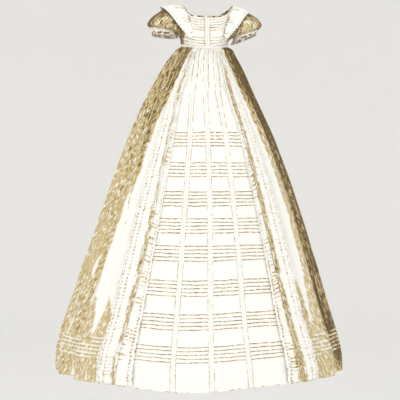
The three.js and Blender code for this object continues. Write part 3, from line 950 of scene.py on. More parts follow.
@dataclass
class SkirtFront:
    """The front panel: four tucked columns of lawn between and beside three insertion strips.

    Attributes:
        form: The skirt's form.
        plan: Where its pieces lie.
        tuck_tops: Height of the uppermost tuck of each group.
        tucks: Number of tucks in a group.
        tuck_pitch: Distance between them.
        under: How far a column reaches under the strips beside it.
        eyelet_pitch: Distance between the eyelets of a strip.
        seam_tone: Tone of the shade painted along the strips' seams.
        inner: Flat size and area of the two inner columns, in metres.
        outer: Flat size and area of the two outer columns.
        strip_flat: Flat size of a strip.
    """

    form: SkirtForm
    plan: FrontPlan
    tuck_tops: tuple[float, ...] = (-352, -430, -503, -570, -637, -720, -799, -874)
    tucks: int = 5
    tuck_pitch: float = 8.8
    under: float = 1.6
    eyelet_pitch: float = 8.6
    seam_tone: float = 0.8
    inner: tuple[Pair, float] = ((0.085, 0.88), 0.058)
    outer: tuple[Pair, float] = ((0.115, 0.98), 0.078)
    strip_flat: Pair = (0.0134, 0.88)

    def column(self, number: int, start: Callable[[Floats], Floats], end: Callable[[Floats], Floats]) -> None:
        """Builds one column from one angle to another, tucked under the strips at its edges.

        Its points lie on the oval, moved out along the normal by the tucks and the ease of the cloth.

        Args:
            number: Number of the column, from the left.
            start: Angle of its left edge at a height.
            end: Angle of its right edge at a height.
        """
        form = self.form
        groups = tuple(Tucks(top, self.tucks, self.tuck_pitch) for top in self.tuck_tops)
        z, out, tuck_tone = TuckedRows(groups, form.waist, form.hem).rows()
        across = np.linspace(0, 1, 29)[None, :]
        lap = form.span(0, z, self.under)
        low, high = start(z) - lap, end(z) + lap
        angle = low + (high - low) * across
        wander = noise(angle * 1.3, z / 30, 30 + number)
        slack = noise(angle / 3.5, z / 14, 40 + number)
        level = z + 0.9 * noise(angle / 3, z / 9, 60 + number)
        points = form.off(angle, level, out * (1 + 0.2 * slack) + form.ease_of_cloth(angle, z))
        # Painted shade: lines under the tucks, dashes along the hem, and lines in the gathers under the
        # waist.
        tone = tuck_tone * np.clip(0.95 + 0.6 * wander, 0.2, 1.15)
        tone = np.maximum(tone, form.painted_hem_shade(angle, z))
        tone = np.maximum(tone, self.waist_gathers(angle, z, number))
        width = np.radians(angle - low) * form.radius(angle, z)
        cloth = Cloth.grid(points, width, form.waist - z, tone)
        name = f"skirt_column_{number}"
        flat, area = self.inner if number in (2, 3) else self.outer
        cut = Cut(name, flat, "gathered", area)
        sew(f"front_column_{number}", cloth.facing_out(), LAWN, cut)

    def waist_gathers(self, angle: Floats, z: Floats, seed: int) -> Floats:
        """The shade painted in the small gathers under the waist: thin lines that break up and fade
        downwards.

        Args:
            angle: Angle from the centre front.
            z: Height.
            seed: Number that picks where they break up.

        Returns:
            The tone.
        """
        lines = np.clip(-2 * self.form.gather_wave(angle, z) - 0.9, 0, 1)
        broken = ease(noise(angle / 2, z / 25, 70 + seed) * 1.4)
        return 1.25 * lines * broken * np.exp((z - self.form.waist) / 120)

    def strip(self, number: int) -> None:
        """Builds one insertion strip: its whitework is laid along a line of the oval, a little off it.

        Args:
            number: Number of the strip, from the left; the second lies down the middle.
        """
        form, waist = self.form, self.form.waist
        work = Openwork.along(waist - form.hem, self.eyelet_pitch, INSERTION_BANDS)
        lay = work.lay(self.plan.strip_width(waist - work.middles, waist))
        z = waist - lay.along * work.pitch
        wide = self.plan.strip_width(z, waist)
        middle = (number - 2) * self.plan.places.read("strip", z)
        angle = middle + form.span(0, z, (lay.across - 0.5) * wide)
        seam = lay.near_lines(*INSERTION_SEAMS)
        lift = 0.75 + lay.raised + 0.35 * seam + form.ease_of_cloth(angle, z)
        # Painted shade along the seams, in dots, darker near the waist, and a little round the eyelets.
        dots = ease(0.75 + 0.9 * noise(z / 9 + 50 * lay.across, 0, 80 + number))
        dark = self.seam_tone * (1 + 0.8 * np.exp((z - waist) / 150))
        tone = np.maximum(dark * seam * dots, 0.15 * lay.rim)
        cloth = lay.cloth(form.off(angle, z, lift), lay.across * wide, waist - z, tone)
        name = f"skirt_strip_{number}"
        cut = Cut(name, self.strip_flat, "hung")
        sew(f"front_insertion_{number}", cloth.facing_out(), INSERTION, cut)

    def build(self) -> None:
        """Builds the four columns and the three strips."""
        place = self.plan.places.read
        form, plan = self.form, self.plan

        def half(z: Floats) -> Floats:
            """Half an insertion strip, as an angle."""
            return form.span(0, z, plan.strip_width(z, form.waist) / 2)

        self.column(1, lambda z: -place("heading", z), lambda z: -place("strip", z) - half(z))
        self.column(2, lambda z: -place("strip", z) + half(z), lambda z: -half(z))
        self.column(3, half, lambda z: place("strip", z) - half(z))
        self.column(4, lambda z: place("strip", z) + half(z), lambda z: place("heading", z))
        for number in (1, 2, 3):
            self.strip(number)


@dataclass(frozen=True)
class Shading:
    """The shade painted on the plain widths of one side, from the front to the back.

    Attributes:
        edges: Angles from the centre front at each height: `near` and `gap`, where a first patch of shade
            starts and ends, `far`, where the even shade starts, `dark` and `light`, where the deep shade of
            the crowded folds starts and ends, and `second` and `last`, the same for one more dark fold.
        even: Tone of the even shade.
        deepest: Tone of the deep shade.
        valleys: How much darker the painted shade is in the valleys of the folds.
        rim: How much darker the painted shade is on the outermost folds.
        streaks: How far painted highlights in bright streaks break up the even shade low down.
        soft: Angles over which the deep shade comes in and goes out.
    """

    edges: Sections
    even: float
    deepest: float
    valleys: float
    rim: float
    streaks: float
    soft: Pair

    def tone(
        self, angle: Floats, z: Floats, trough: Floats, valley: Floats, share: Floats, seed: int
    ) -> Floats:
        """The painted shade of the side at each point.

        Args:
            angle: Angle from the centre front, without its sign.
            z: Height.
            trough: Depth of the gathers there, from 0 to 1.
            valley: Depth of the gathers or of the large folds there, whichever is more, from 0 to 1.
            share: How far down the skirt it is.
            seed: Number that picks the unevenness.

        Returns:
            The painted shade, which fades again towards the back.
        """
        edges = (self.edges.read(column, z) for column in self.edges.columns)
        near, gap, far, dark, light, second, last = edges
        drift = 0.6 * noise(0, z / 40, seed) + 0.5 * noise(angle / 2, z / 12, seed + 1)
        at = angle + drift
        even = ease((at - far) / 1.6)
        patch = ease((at - near) / 1.4) * ease((gap - at) / 1.4)
        lit = np.maximum(even, patch)
        come, go = self.soft
        deep = ease((at - dark) / come) * ease((light - at) / go)
        deep = np.maximum(deep, ease((at - second) / 3) * ease((last - at) / 4))
        mottle = 0.7 * noise(angle / 1.2, z / 130, seed + 2)
        mottle = mottle + 0.35 * noise(angle / 1.7, z / 24, seed + 4)
        # Painted highlights: bright streaks low down, where the deep shade is not.
        streak = ease((noise(angle / 1.7 + z / 90, z / 70, seed + 3) - 0.45) * 3) * (1 - deep)
        streak = streak * ease((-560 - z) / 120)
        crowded = np.exp(10 * np.minimum(0, 0.1 - share))
        level = 0.87 + 0.5 * self.valleys * valley + 0.12 * mottle
        even_tone = self.even * (1 + 0.45 * crowded) * level * (1 - self.streaks * streak)
        falling = 1.06 + 0.14 * crowded - 0.16 * share + 0.2 * ease((share - 0.75) / 0.15)
        outermost = self.rim * ease((at - dark - 5) / 12)
        deep_tone = self.deepest * (0.7 + self.valleys * valley + outermost + 0.25 * mottle) * falling
        side = lit * even_tone + deep * np.maximum(0, deep_tone - lit * even_tone)
        back = ease((angle - 88) / 42)
        return side * (1 - back) + back * 0.3 * trough


@dataclass
class SkirtWidth:
    """One plain width of the skirt, gathered at the waist, with large folds and a band of tucks at the hem.

    Attributes:
        place: Its place in the skirt, as in its name and its solid's.
        form: The skirt's form.
        start: Angle of its front edge at a height.
        end: Angle of its back edge.
        folds: Its large folds.
        gathers: Its gathers.
        shading: The shade painted on it.
        hem_tucks: Its band of tucks over the hem.
        columns: Number of points across it.
        flat: Its flat size, in metres.
        area: Its flat area.
    """

    place: str
    form: SkirtForm
    start: Callable[[Floats], Numbers]
    end: Callable[[Floats], Numbers]
    folds: MainFolds
    gathers: Gathers
    shading: Shading
    hem_tucks: Tucks = Tucks(-870, 6, 9.6, stand=1.5)
    columns: int = 160
    flat: Pair = (0.56, 0.98)
    area: float = 0.36

    def build(self) -> None:
        """Builds the width.

        Its large folds dip into the skirt by a share of the half width, more near the waist, and its gathers
        by a share of the distance between them.
        """
        form, seed = self.form, self.gathers.seed
        z, out, tuck_tone = TuckedRows((self.hem_tucks,), form.waist, form.hem, step=11).rows()
        down, share = form.waist - z, form.share(z)
        across = np.linspace(0, 1, self.columns)[None, :]
        start, end = self.start(z), self.end(z)
        angle = start + (end - start) * across

        seated = 0.35 + 0.65 * ease(down / 14)
        fold = self.folds.dip(across) * (1.25 - 0.25 * share) * form.ovals.read("wide", z) * seated
        arc = np.abs(np.radians(end - start)) * form.radius(angle, z)
        trough = self.gathers.trough(across, down)
        dip = fold + trough * seated * arc / self.gathers.count
        crease = 1.2 * noise(across * 40, z / 90, seed) * ease(across * 12) * ease(12 - across * 12)
        swell = form.ease_of_cloth(angle, z) * ease((1 - across) * 6)
        edge = ease(across * 14) * ease((1 - across) * 14)
        points = form.off(angle, z, out - dip * (0.25 + 0.75 * edge) + crease + swell)

        # The tone is painted shade: the side's, and more in the gathers' hollows near the waist.
        hollow = np.clip(trough / (0.6 * self.gathers.depth[1]), 0, 1)
        valley = np.maximum(hollow, np.clip(self.folds.dip(across) / 0.06, 0, 0.9))
        tone = self.shading.tone(np.abs(angle), z, hollow, valley, share, seed + 20)
        tone = np.maximum(tone, 0.5 * hollow * np.exp(-down / 140))
        # Painted highlights on the crests of the hem tucks, broken up, and painted shadow lines under them.
        broken = 0.75 + 0.4 * noise(across * 30, z / 20, seed + 1)
        crest_highlight = ease(0.9 + noise(across * 22, z / 6, seed + 5))
        tone = tone * (1 - 0.9 * crest_highlight * np.clip(out / self.hem_tucks.stand, 0, 1) ** 2)
        tone = np.maximum(tone, tuck_tone * 0.5 * broken) + 0.15 * tuck_tone * tone
        tone = np.maximum(tone, form.painted_hem_shade(angle, z))
        cloth = Cloth.grid(points, across * arc, down, tone)
        node = f"skirt_{self.place}"
        cut = Cut(node, self.flat, "gathered", self.area)
        sew(f"skirt_width_{self.place}", cloth.facing_out(), LAWN, cut)


@dataclass(frozen=True)
class Ruffle:
    """One ruffle of a robing.

    Attributes:
        word: Its name among the robing's pieces.
        outward: 1 where it spreads away from the centre front, and -1 where towards it.
        column: Column of the plan that its free edge follows.
        bands: Its whitework.
        gather_tone: Tone of the shade painted in the gathers beside its sewn edge.
        flat: Its flat size, in metres; scallops and tapers take a third of that.
        seed: Number that picks its irregularities.
    """

    word: str
    outward: int
    column: str
    bands: tuple[Band, ...]
    gather_tone: float
    flat: Pair
    seed: int


INNER_RUFFLE = Ruffle(
    "inner",
    -1,
    "panel",
    (Band(0.68, 6), Band(0.86, eyelet=1.5), Band(1, 3)),
    gather_tone=0.95,
    flat=(0.05, 0.98),
    seed=110,
)
OUTER_RUFFLE = Ruffle(
    "outer",
    1,
    "ruffle",
    (Band(0.5, 6), Band(0.66, eyelet=1.4), Band(0.78), Band(0.92, eyelet=1.8), Band(1, 2)),
    gather_tone=0.3,
    flat=(0.056, 0.98),
    seed=120,
)
# A heading band: a row of wide eyelets between two cords and two seam edges.
HEADING_BANDS = (Band(0.07), Band(0.16), Band(0.84, eyelet=2.0), Band(0.93), Band(1))


@dataclass
class SkirtRobing:
    """One robing of the skirt: an inner and an outer ruffle, and the heading band over their sewn edges.

    Attributes:
        form: The skirt's form.
        plan: Where its pieces lie.
        side: Which side it is on.
        under_waist: Distance of its top edge below the waist seam.
        over_hem: Distance of its foot above the hem.
        eyelet_pitch: Distance between the eyelets of a ruffle.
        beading_pitch: Distance between those of the heading.
        gather_pitch: Distance between the small gathers of a ruffle.
        lie: Angle at which lengths across the ruffles are turned into angles.
        off_panel: How far a ruffle stands off the skirt.
        wave: How much further its free edge waves at the hem.
        wave_pitch: Length of a wave.
        band_off: How far the heading band stands off the skirt.
    """

    form: SkirtForm
    plan: FrontPlan
    side: Side
    under_waist: float = 12.0
    over_hem: float = 3.0
    eyelet_pitch: float = 8.4
    beading_pitch: float = 7.4
    gather_pitch: float = 9.5
    lie: float = 33.0
    off_panel: float = 1.5
    wave: float = 4.0
    wave_pitch: float = 54.0
    band_off: float = 3.6

    @property
    def top(self) -> float:
        """Height at which the robing starts, under the waist binding."""
        return self.form.waist - self.under_waist

    @property
    def length(self) -> float:
        """Its length from there to its foot."""
        return self.top - self.form.hem - self.over_hem

    def ruffle(self, kind: Ruffle) -> None:
        """Builds one ruffle from the heading to its scalloped free edge.

        Its gathers are a wave along it with an uneven pitch, which grows towards the free edge. Slower waves
        lift the free edge.

        Args:
            kind: Which ruffle.
        """
        read, form, outward = self.plan.places.read, self.form, kind.outward
        seed = kind.seed + self.side.value
        work = Openwork.along(self.length, self.eyelet_pitch, kind.bands)
        tile_z = self.top - work.middles
        flare = np.radians(np.abs(read(kind.column, tile_z) - read("heading", tile_z)))
        lay = work.lay(flare * form.radius(self.lie, tile_z))
        down, t = lay.along * work.pitch, lay.across
        z = self.top - down
        share = form.share(z)
        free, sewn = read(kind.column, z), read("heading", z)
        scallop = (0.8 + 2.6 * share) * (np.abs(np.sin(np.pi * lay.along / 2)) ** 0.7 - 0.35)
        reach = free + outward * form.span(self.lie, z, scallop)
        angle = sewn + (reach - sewn) * t - outward * form.span(self.lie, z, 1.0) * (1 - t)

        slant = 9 * t * (1 + 0.6 * noise(z / 40, 0, seed)) * (1 - 0.8 * ease((-850 - z) / 60))
        place = down - slant
        pleat = wave(place / self.gather_pitch + 0.8 * noise(place / 26, 0, seed + 1))
        slow = 0.5 + 0.5 * wave(down / self.wave_pitch + 0.191 * noise(z / 80, 0, seed + 2))
        high = (0.35 + 1.5 * share * t) * (1 + pleat) / 2 + self.wave * share * slow * t**1.6
        points = form.off(self.side.value * angle, z, self.off_panel + high + lay.raised * 0.6)

        # Painted shade: in the troughs of the gathers, round the eyelets, along the free edge and beside the
        # heading.
        present = ease(0.35 + 1.1 * noise(place / 14, t * 2, seed + 3))
        stroke = np.clip(-pleat * 1.8 - 0.6, 0, 1) * present * ease((1.15 - t) * 1.3)
        picked = ease(noise(z / 5, t * 9, seed + 5) * 2 + 0.3)
        lip = ease((t - 0.94) / 0.06) * (0.35 + 0.3 * noise(z / 9, 0, seed + 4))
        tones = kind.gather_tone * stroke, 1.2 * lay.rim * picked, lip, self.beside(t, z, outward)
        cloth = lay.cloth(points, t * 60, down, np.max(tones, axis=0))
        wide, long = kind.flat
        node = f"ruffle_{kind.word}_{self.side.word}"
        cut = Cut(node, kind.flat, "gathered", wide * long * 0.66)
        sew(f"skirt_{node}", cloth.facing_out(), EDGING, cut)

    def beside(self, t: Floats, z: Floats, outward: int) -> Floats:
        """The shade painted on a ruffle beside the heading.

        On the right, the side away from the light, it is a solid band, wider on the inner ruffle, at the hem
        and near the waist, where the ruffle itself is narrow. On the left it is only patches.

        Args:
            t: Share of the way from the heading to the free edge.
            z: Height.
            outward: 1 for the outer ruffle and -1 for the inner one.

        Returns:
            The tone at each point.
        """
        share = self.form.share(z)
        if self.side is Side.LEFT:
            patches = ease(noise(z / 18, 0, 62) * 2.2)
            return 0.52 * ease((0.13 - t) / 0.05) * patches * ease(share * 3)
        narrow = np.exp(-4 * share)
        wide = 0.12 + 0.05 * share + 0.3 * narrow + 0.07 * ease((-880 - z) / 90)
        wide = wide + 0.05 * noise(z / 13, 0, 61)
        if outward < 0:
            wide = wide + 0.1 + 0.3 * narrow + 0.06 * ease((-640 - z) / 160) * ease((1010 + z) / 120)
        return 0.56 * ease((wide - t) / 0.05) * ease(share * 7)

    def heading(self) -> None:
        """Builds the heading band: a beading with corded edges, laid off the oval along the plan's line."""
        form, plan = self.form, self.plan
        work = Openwork.along(self.length, self.beading_pitch, HEADING_BANDS, rim=0.8)
        lay = work.lay(plan.band_width(form.share(self.top - work.middles)))
        down = lay.along * work.pitch
        z = self.top - down
        wide = plan.band_width(form.share(z))
        angle = plan.places.read("heading", z) + form.span(30, z, (lay.across - 0.5) * wide)
        cord = lay.near_lines(0.43, 0.08)
        wobble = 0.5 * noise(z / 16, lay.across * 2, 14)
        points = form.off(self.side.value * angle, z, self.band_off + lay.raised + 0.5 * cord + wobble)
        # Painted shade: a solid band on the right, the side away from the light, patches on the left, and
        # more round the eyelets.
        uneven = noise(z / 17, lay.across * 3, 90 + self.side.value)
        solid = 1 + 0.1 * ease((-330 - z) / 200) if self.side is Side.RIGHT else 0.6
        even = 0.55 * ease(solid + 1.1 * uneven)
        tone = np.maximum(even * (0.8 + 0.2 * form.share(z)), 0.6 * lay.rim * (0.5 + 0.5 * uneven))
        cloth = lay.cloth(points, lay.across * wide, down, tone)
        node = f"heading_band_{self.side.word}"
        cut = Cut(node, (0.014, 0.87), "hung", 0.0105)
        sew(f"skirt_heading_{self.side.word}", cloth.facing_out(), INSERTION, cut)

    def build(self) -> None:
        """Builds the two ruffles and the band."""
        self.ruffle(INNER_RUFFLE)
        self.ruffle(OUTER_RUFFLE)
        self.heading()


# Angles that bound the shade painted on the plain widths of each side, at each height.
SHADING_COLUMNS = "near gap far dark light second last"
LEFT_EDGES = Sections.of(
    SHADING_COLUMNS,
    (-124, 33, 33, 33, 33, 50, 57, 64),
    (-151, 33, 33, 33, 33, 50, 58, 65),
    (-190, 34.5, 34.5, 34.5, 34, 50, 58, 65),
    (-227, 36, 36, 36, 36, 51, 59, 66),
    (-263, 38.5, 38.5, 38.5, 38, 52, 59, 68),
    (-312, 43, 43, 43, 42, 55, 58, 67),
    (-353, 44.2, 44.2, 44.2, 45, 55, 57, 64),
    (-409, 45.5, 45.5, 45.5, 46.5, 55, 57, 63),
    (-452, 46.6, 46.6, 46.6, 47, 54, 60, 65),
    (-500, 48.2, 50.6, 50.6, 49.5, 53, 57.5, 62),
    (-556, 47.8, 49.8, 52.8, 58, 58, 59, 63),
    (-600, 47.4, 49.2, 53.2, 62, 62, 61, 63),
    (-634, 46.8, 47.4, 54, 65, 65, 65, 65),
    (-663, 49, 49, 54.4, 70, 70, 70, 70),
    (-724, 49, 49, 55, 75, 75, 75, 75),
    (-761, 47.2, 48.8, 55, 75, 75, 75, 75),
    (-800, 43.8, 49.2, 52.7, 75, 75, 75, 75),
    (-838, 41.4, 50.5, 51.6, 75, 75, 75, 75),
    (-866, 42.7, 52.4, 50.9, 75, 75, 75, 75),
    (-880, 43.2, 55, 50.9, 75, 75, 75, 75),
    (-909, 44.4, 56, 51, 75, 75, 75, 75),
    (-979, 45.5, 56, 51, 75, 75, 75, 75),
)
LEFT_SHADING = Shading(
    LEFT_EDGES, even=0.5, deepest=0.94, valleys=0.25, rim=0.0, streaks=0.75, soft=(3, 4)
)
# On the right the deep shade ends at one angle all the way down, and there is no second dark fold.
RIGHT_ENDS = (106, 75, 75)
RIGHT_STARTS = (
    (-124, 37, 37, 37, 34),
    (-152, 38.8, 38.8, 38.8, 35),
    (-199, 41.2, 41.2, 41.2, 37),
    (-244, 43.8, 43.8, 43.8, 40.5),
    (-303, 45.5, 45.5, 45.5, 46),
    (-385, 47.5, 47.5, 47.5, 51),
    (-460, 49.4, 49.4, 49.4, 54),
    (-570, 52, 52, 52, 56),
    (-690, 45.4, 45.4, 51.6, 56.5),
    (-721, 45, 46.8, 50.9, 56),
    (-766, 43.8, 49.3, 50.3, 55),
    (-804, 43.6, 50.4, 50.3, 53),
    (-844, 44.5, 51.5, 50, 54),
    (-860, 45.7, 55, 49.5, 55),
    (-899, 45.1, 58, 49.5, 56),
    (-979, 46.5, 58, 50, 67),
)
RIGHT_EDGES = Sections.of(SHADING_COLUMNS, *((*row, *RIGHT_ENDS) for row in RIGHT_STARTS))
RIGHT_SHADING = Shading(
    RIGHT_EDGES, even=0.53, deepest=0.93, valleys=0.14, rim=0.28, streaks=0.2, soft=(13, 16)
)
LEFT_FOLDS = MainFolds(
    at=(0, 0.15, 0.3, 0.43, 0.6, 0.71, 0.79, 0.9, 1),
    depth=(0.006, 0.012, 0, 0.09, 0.015, 0.05, 0, 0.045, 0.012),
)
RIGHT_FOLDS = MainFolds(
    at=(0, 0.17, 0.31, 0.46, 0.6, 0.69, 0.78, 0.89, 1),
    depth=(0.006, 0.03, 0.004, 0.052, 0.006, 0.04, 0, 0.04, 0.01),
)
BACK_FOLDS = MainFolds(
    at=(0, 0.13, 0.26, 0.4, 0.53, 0.68, 0.82, 0.92, 1),
    depth=(0.012, 0.05, 0.004, 0.06, 0, 0.055, 0.006, 0.045, 0.02),
)


@dataclass
class Skirt:
    """The whole skirt: its front, its two robings, and its four plain widths.

    Attributes:
        form: Its form.
        plan: Where the pieces of its front lie.
        side_seam: Angle of the side seams from the centre front.
        seam_gap: Angle between the two widths at a side seam.
        side_gathers: Number of gathers in a side width.
        back_gathers: Number in a back width.
        gather_depth: Least and greatest depth of a gather, as a share of the distance between two.
        gather_reach: Least and greatest length over which one fades.
    """

    form: SkirtForm = SkirtForm()
    plan: FrontPlan = FrontPlan()
    side_seam: float = 107.0
    seam_gap: float = 0.2
    side_gathers: int = 30
    back_gathers: int = 28
    gather_depth: Pair = (0.12, 0.3)
    gather_reach: Pair = (180, 900)

    def side_width(self, side: Side, folds: MainFolds, shading: Shading, seed: int) -> SkirtWidth:
        """The width from under the heading to the side seam.

        Args:
            side: Which side it is on.
            folds: Its large folds.
            shading: The shade painted on it.
            seed: Number that picks its gathers.

        Returns:
            The width.
        """
        heading, sign = self.plan.places, side.value
        gathers = Gathers(self.side_gathers, self.gather_depth, self.gather_reach, seed)
        start, end = lambda z: sign * heading.read("heading", z), lambda z: sign * self.side_seam
        return SkirtWidth(f"side_{side.word}", self.form, start, end, folds, gathers, shading)

    def back_width(self, side: Side, shading: Shading, seed: int) -> SkirtWidth:
        """The width from the side seam to the centre back.

        Args:
            side: Which side it is on.
            shading: The shade painted on it.
            seed: Number that picks its gathers.

        Returns:
            The width.
        """
        gathers = Gathers(self.back_gathers, self.gather_depth, self.gather_reach, seed)
        seam, middle = side.value * (self.side_seam - self.seam_gap), side.value * 180.0
        start, end = lambda z: seam, lambda z: middle
        return SkirtWidth(f"back_{side.word}", self.form, start, end, BACK_FOLDS, gathers, shading)

    def build(self) -> None:
        """Builds every piece of the skirt."""
        SkirtFront(self.form, self.plan).build()
        for side in Side:
            SkirtRobing(self.form, self.plan, side).build()
        self.side_width(Side.LEFT, LEFT_FOLDS, LEFT_SHADING, 1).build()
        self.side_width(Side.RIGHT, RIGHT_FOLDS, RIGHT_SHADING, 2).build()
        self.back_width(Side.LEFT, LEFT_SHADING, 3).build()
        self.back_width(Side.RIGHT, RIGHT_SHADING, 4).build()


# ---- bodice ----


@dataclass(frozen=True)
class BodiceForm:
    """One half of the bodice, front or back: a surface filled in between its four edges.

    Attributes:
        facing: -1 for the front and 1 for the back.
        neck: The neck edge, from beside the centre to the neck corner.
        waist_wide: Half the waist's width.
        waist_deep: Half its depth.
        waist: Height of the waist seam in front.
        rise: How much higher it is at the sides.
        underarm: Height of the armhole's lowest point.
        side_out: Distance of that point from the middle.
        armhole_deep: Half the armhole's width from front to back.
        shoulder: The outer end of the shoulder seam.
        corner: Share of the top edge from its centre to the neck corner.
    """

    facing: int
    neck: tuple[Place, ...]
    waist_wide: float = 57.0
    waist_deep: float = 52.0
    waist: float = -124.0
    rise: float = 11.0
    underarm: float = -92.0
    side_out: float = 63.0
    armhole_deep: float = 36.0
    shoulder: Place = (84.0, 0.0, -9.0)
    corner: float = 0.84

    def top_edge(self, s: Floats) -> Floats:
        """The top edge: a smooth curve through the neck's points, then the straight shoulder seam.

        Args:
            s: Share of the way from the centre to the side.

        Returns:
            The points.
        """
        neck = np.array(self.neck, float)
        at = run_along(neck)
        table = Sections.of("x y z", *np.column_stack([at / at[-1], neck]))
        along = np.clip(s / self.corner, 0, 1)
        curve = stack(*(table.read(c, along) for c in ("x", "y", "z")))
        past = np.clip((s - self.corner) / (1 - self.corner), 0, 1)[..., None]
        return curve * (1 - past) + np.array(self.shoulder) * past

    def waist_edge(self, s: Floats) -> Floats:
        """The waist seam: an oval that rises at the sides.

        Args:
            s: Share of the way from the centre to the side.

        Returns:
            The points.
        """
        first = math.asin(self.neck[0][0] / self.waist_wide)
        a = first + (math.pi / 2 - first) * s
        y = self.facing * self.waist_deep * np.cos(a)
        return stack(self.waist_wide * np.sin(a), y, self.waist + self.rise * np.sin(a) ** 2)

    def side_edge(self, v: Floats) -> Floats:
        """The side seam up to the underarm, and then half the oval armhole up to the shoulder.

        Args:
            v: Share of the way up.

        Returns:
            The points.
        """
        low = self.waist + self.rise
        z = low + (self.shoulder[2] - low) * v
        seam = np.clip((z - low) / (self.underarm - low), 0, 1)
        hole = np.clip((z - self.underarm) / (self.shoulder[2] - self.underarm), 0, 1)
        x = np.where(
            z <= self.underarm,
            self.waist_wide + (self.side_out - self.waist_wide) * seam,
            self.side_out + (self.shoulder[0] - self.side_out) * hole,
        )
        reach = self.armhole_deep * np.sqrt(np.maximum(0, 1 - (2 * hole - 1) ** 2))
        return stack(x, self.facing * reach, z)

    def point(self, s: Numbers, v: Numbers) -> Floats:
        """The surface: each pair of opposite edges joined by straight lines, less the corners counted twice.

        Args:
            s: Share of the way from the centre to the side.
            v: Share of the way up.

        Returns:
            The points.
        """
        s, v = np.broadcast_arrays(np.asarray(s, float), np.asarray(v, float))
        zero, one = np.zeros_like(s), np.ones_like(s)
        a, b = s[..., None], v[..., None]
        low, high = self.waist_edge(zero), self.top_edge(zero)
        centre = low * (1 - b) + high * b
        corners = low * (1 - a) * (1 - b) + self.waist_edge(one) * a * (1 - b)
        corners = corners + high * (1 - a) * b + np.array(self.shoulder) * a * b
        across = self.waist_edge(s) * (1 - b) + self.top_edge(s) * b
        return across + centre * (1 - a) + self.side_edge(v) * a - corners

    def off(self, s: Floats, v: Numbers, out: Numbers) -> Floats:
        """The point moved off the surface along its normal, taken a little inside the edges.

        Args:
            s: Share of the way from the centre to the side.
            v: Share of the way up.
            out: Distance off the surface.

        Returns:
            The points.
        """
        inner_s, inner_v = np.clip(s, 0.02, 0.98), np.clip(v, 0.02, 0.98)
        across = self.point(inner_s + 0.01, inner_v) - self.point(inner_s - 0.01, inner_v)
        up = self.point(inner_s, inner_v + 0.01) - self.point(inner_s, inner_v - 0.01)
        normal = unit(np.cross(across, up)) * -self.facing
        return self.point(s, v) + normal * np.asarray(out)[..., None]


@dataclass(frozen=True)
class Tape:
    """A folded tape sewn over an edge or a seam.

    Attributes:
        section: Distance out and up of each point of its section.
        pucker: Depth of its puckers.
        tone: Tone of the shade painted along its stitched edges.
        between: Share of that tone between them.
    """

    section: tuple[Pair, ...]
    pucker: float
    tone: float
    between: float


WAIST_TAPE = Tape(
    ((-0.9, -4.6), (0.5, -4.5), (1.0, -3.2), (1.2, 0), (1.0, 2.2), (0.5, 3.1), (-0.9, 3.2)),
    pucker=0.25,
    tone=0.59,
    between=0.25,
)
NECK_TAPE = Tape(
    ((0.7, -1.6), (1.1, -0.4), (1.0, 1.4), (0.3, 2.7), (-0.7, 2.7), (-1.3, 1.4), (-1.4, -0.4), (-1.2, -1.6)),
    pucker=0.35,
    tone=1.15,
    between=0.9,
)


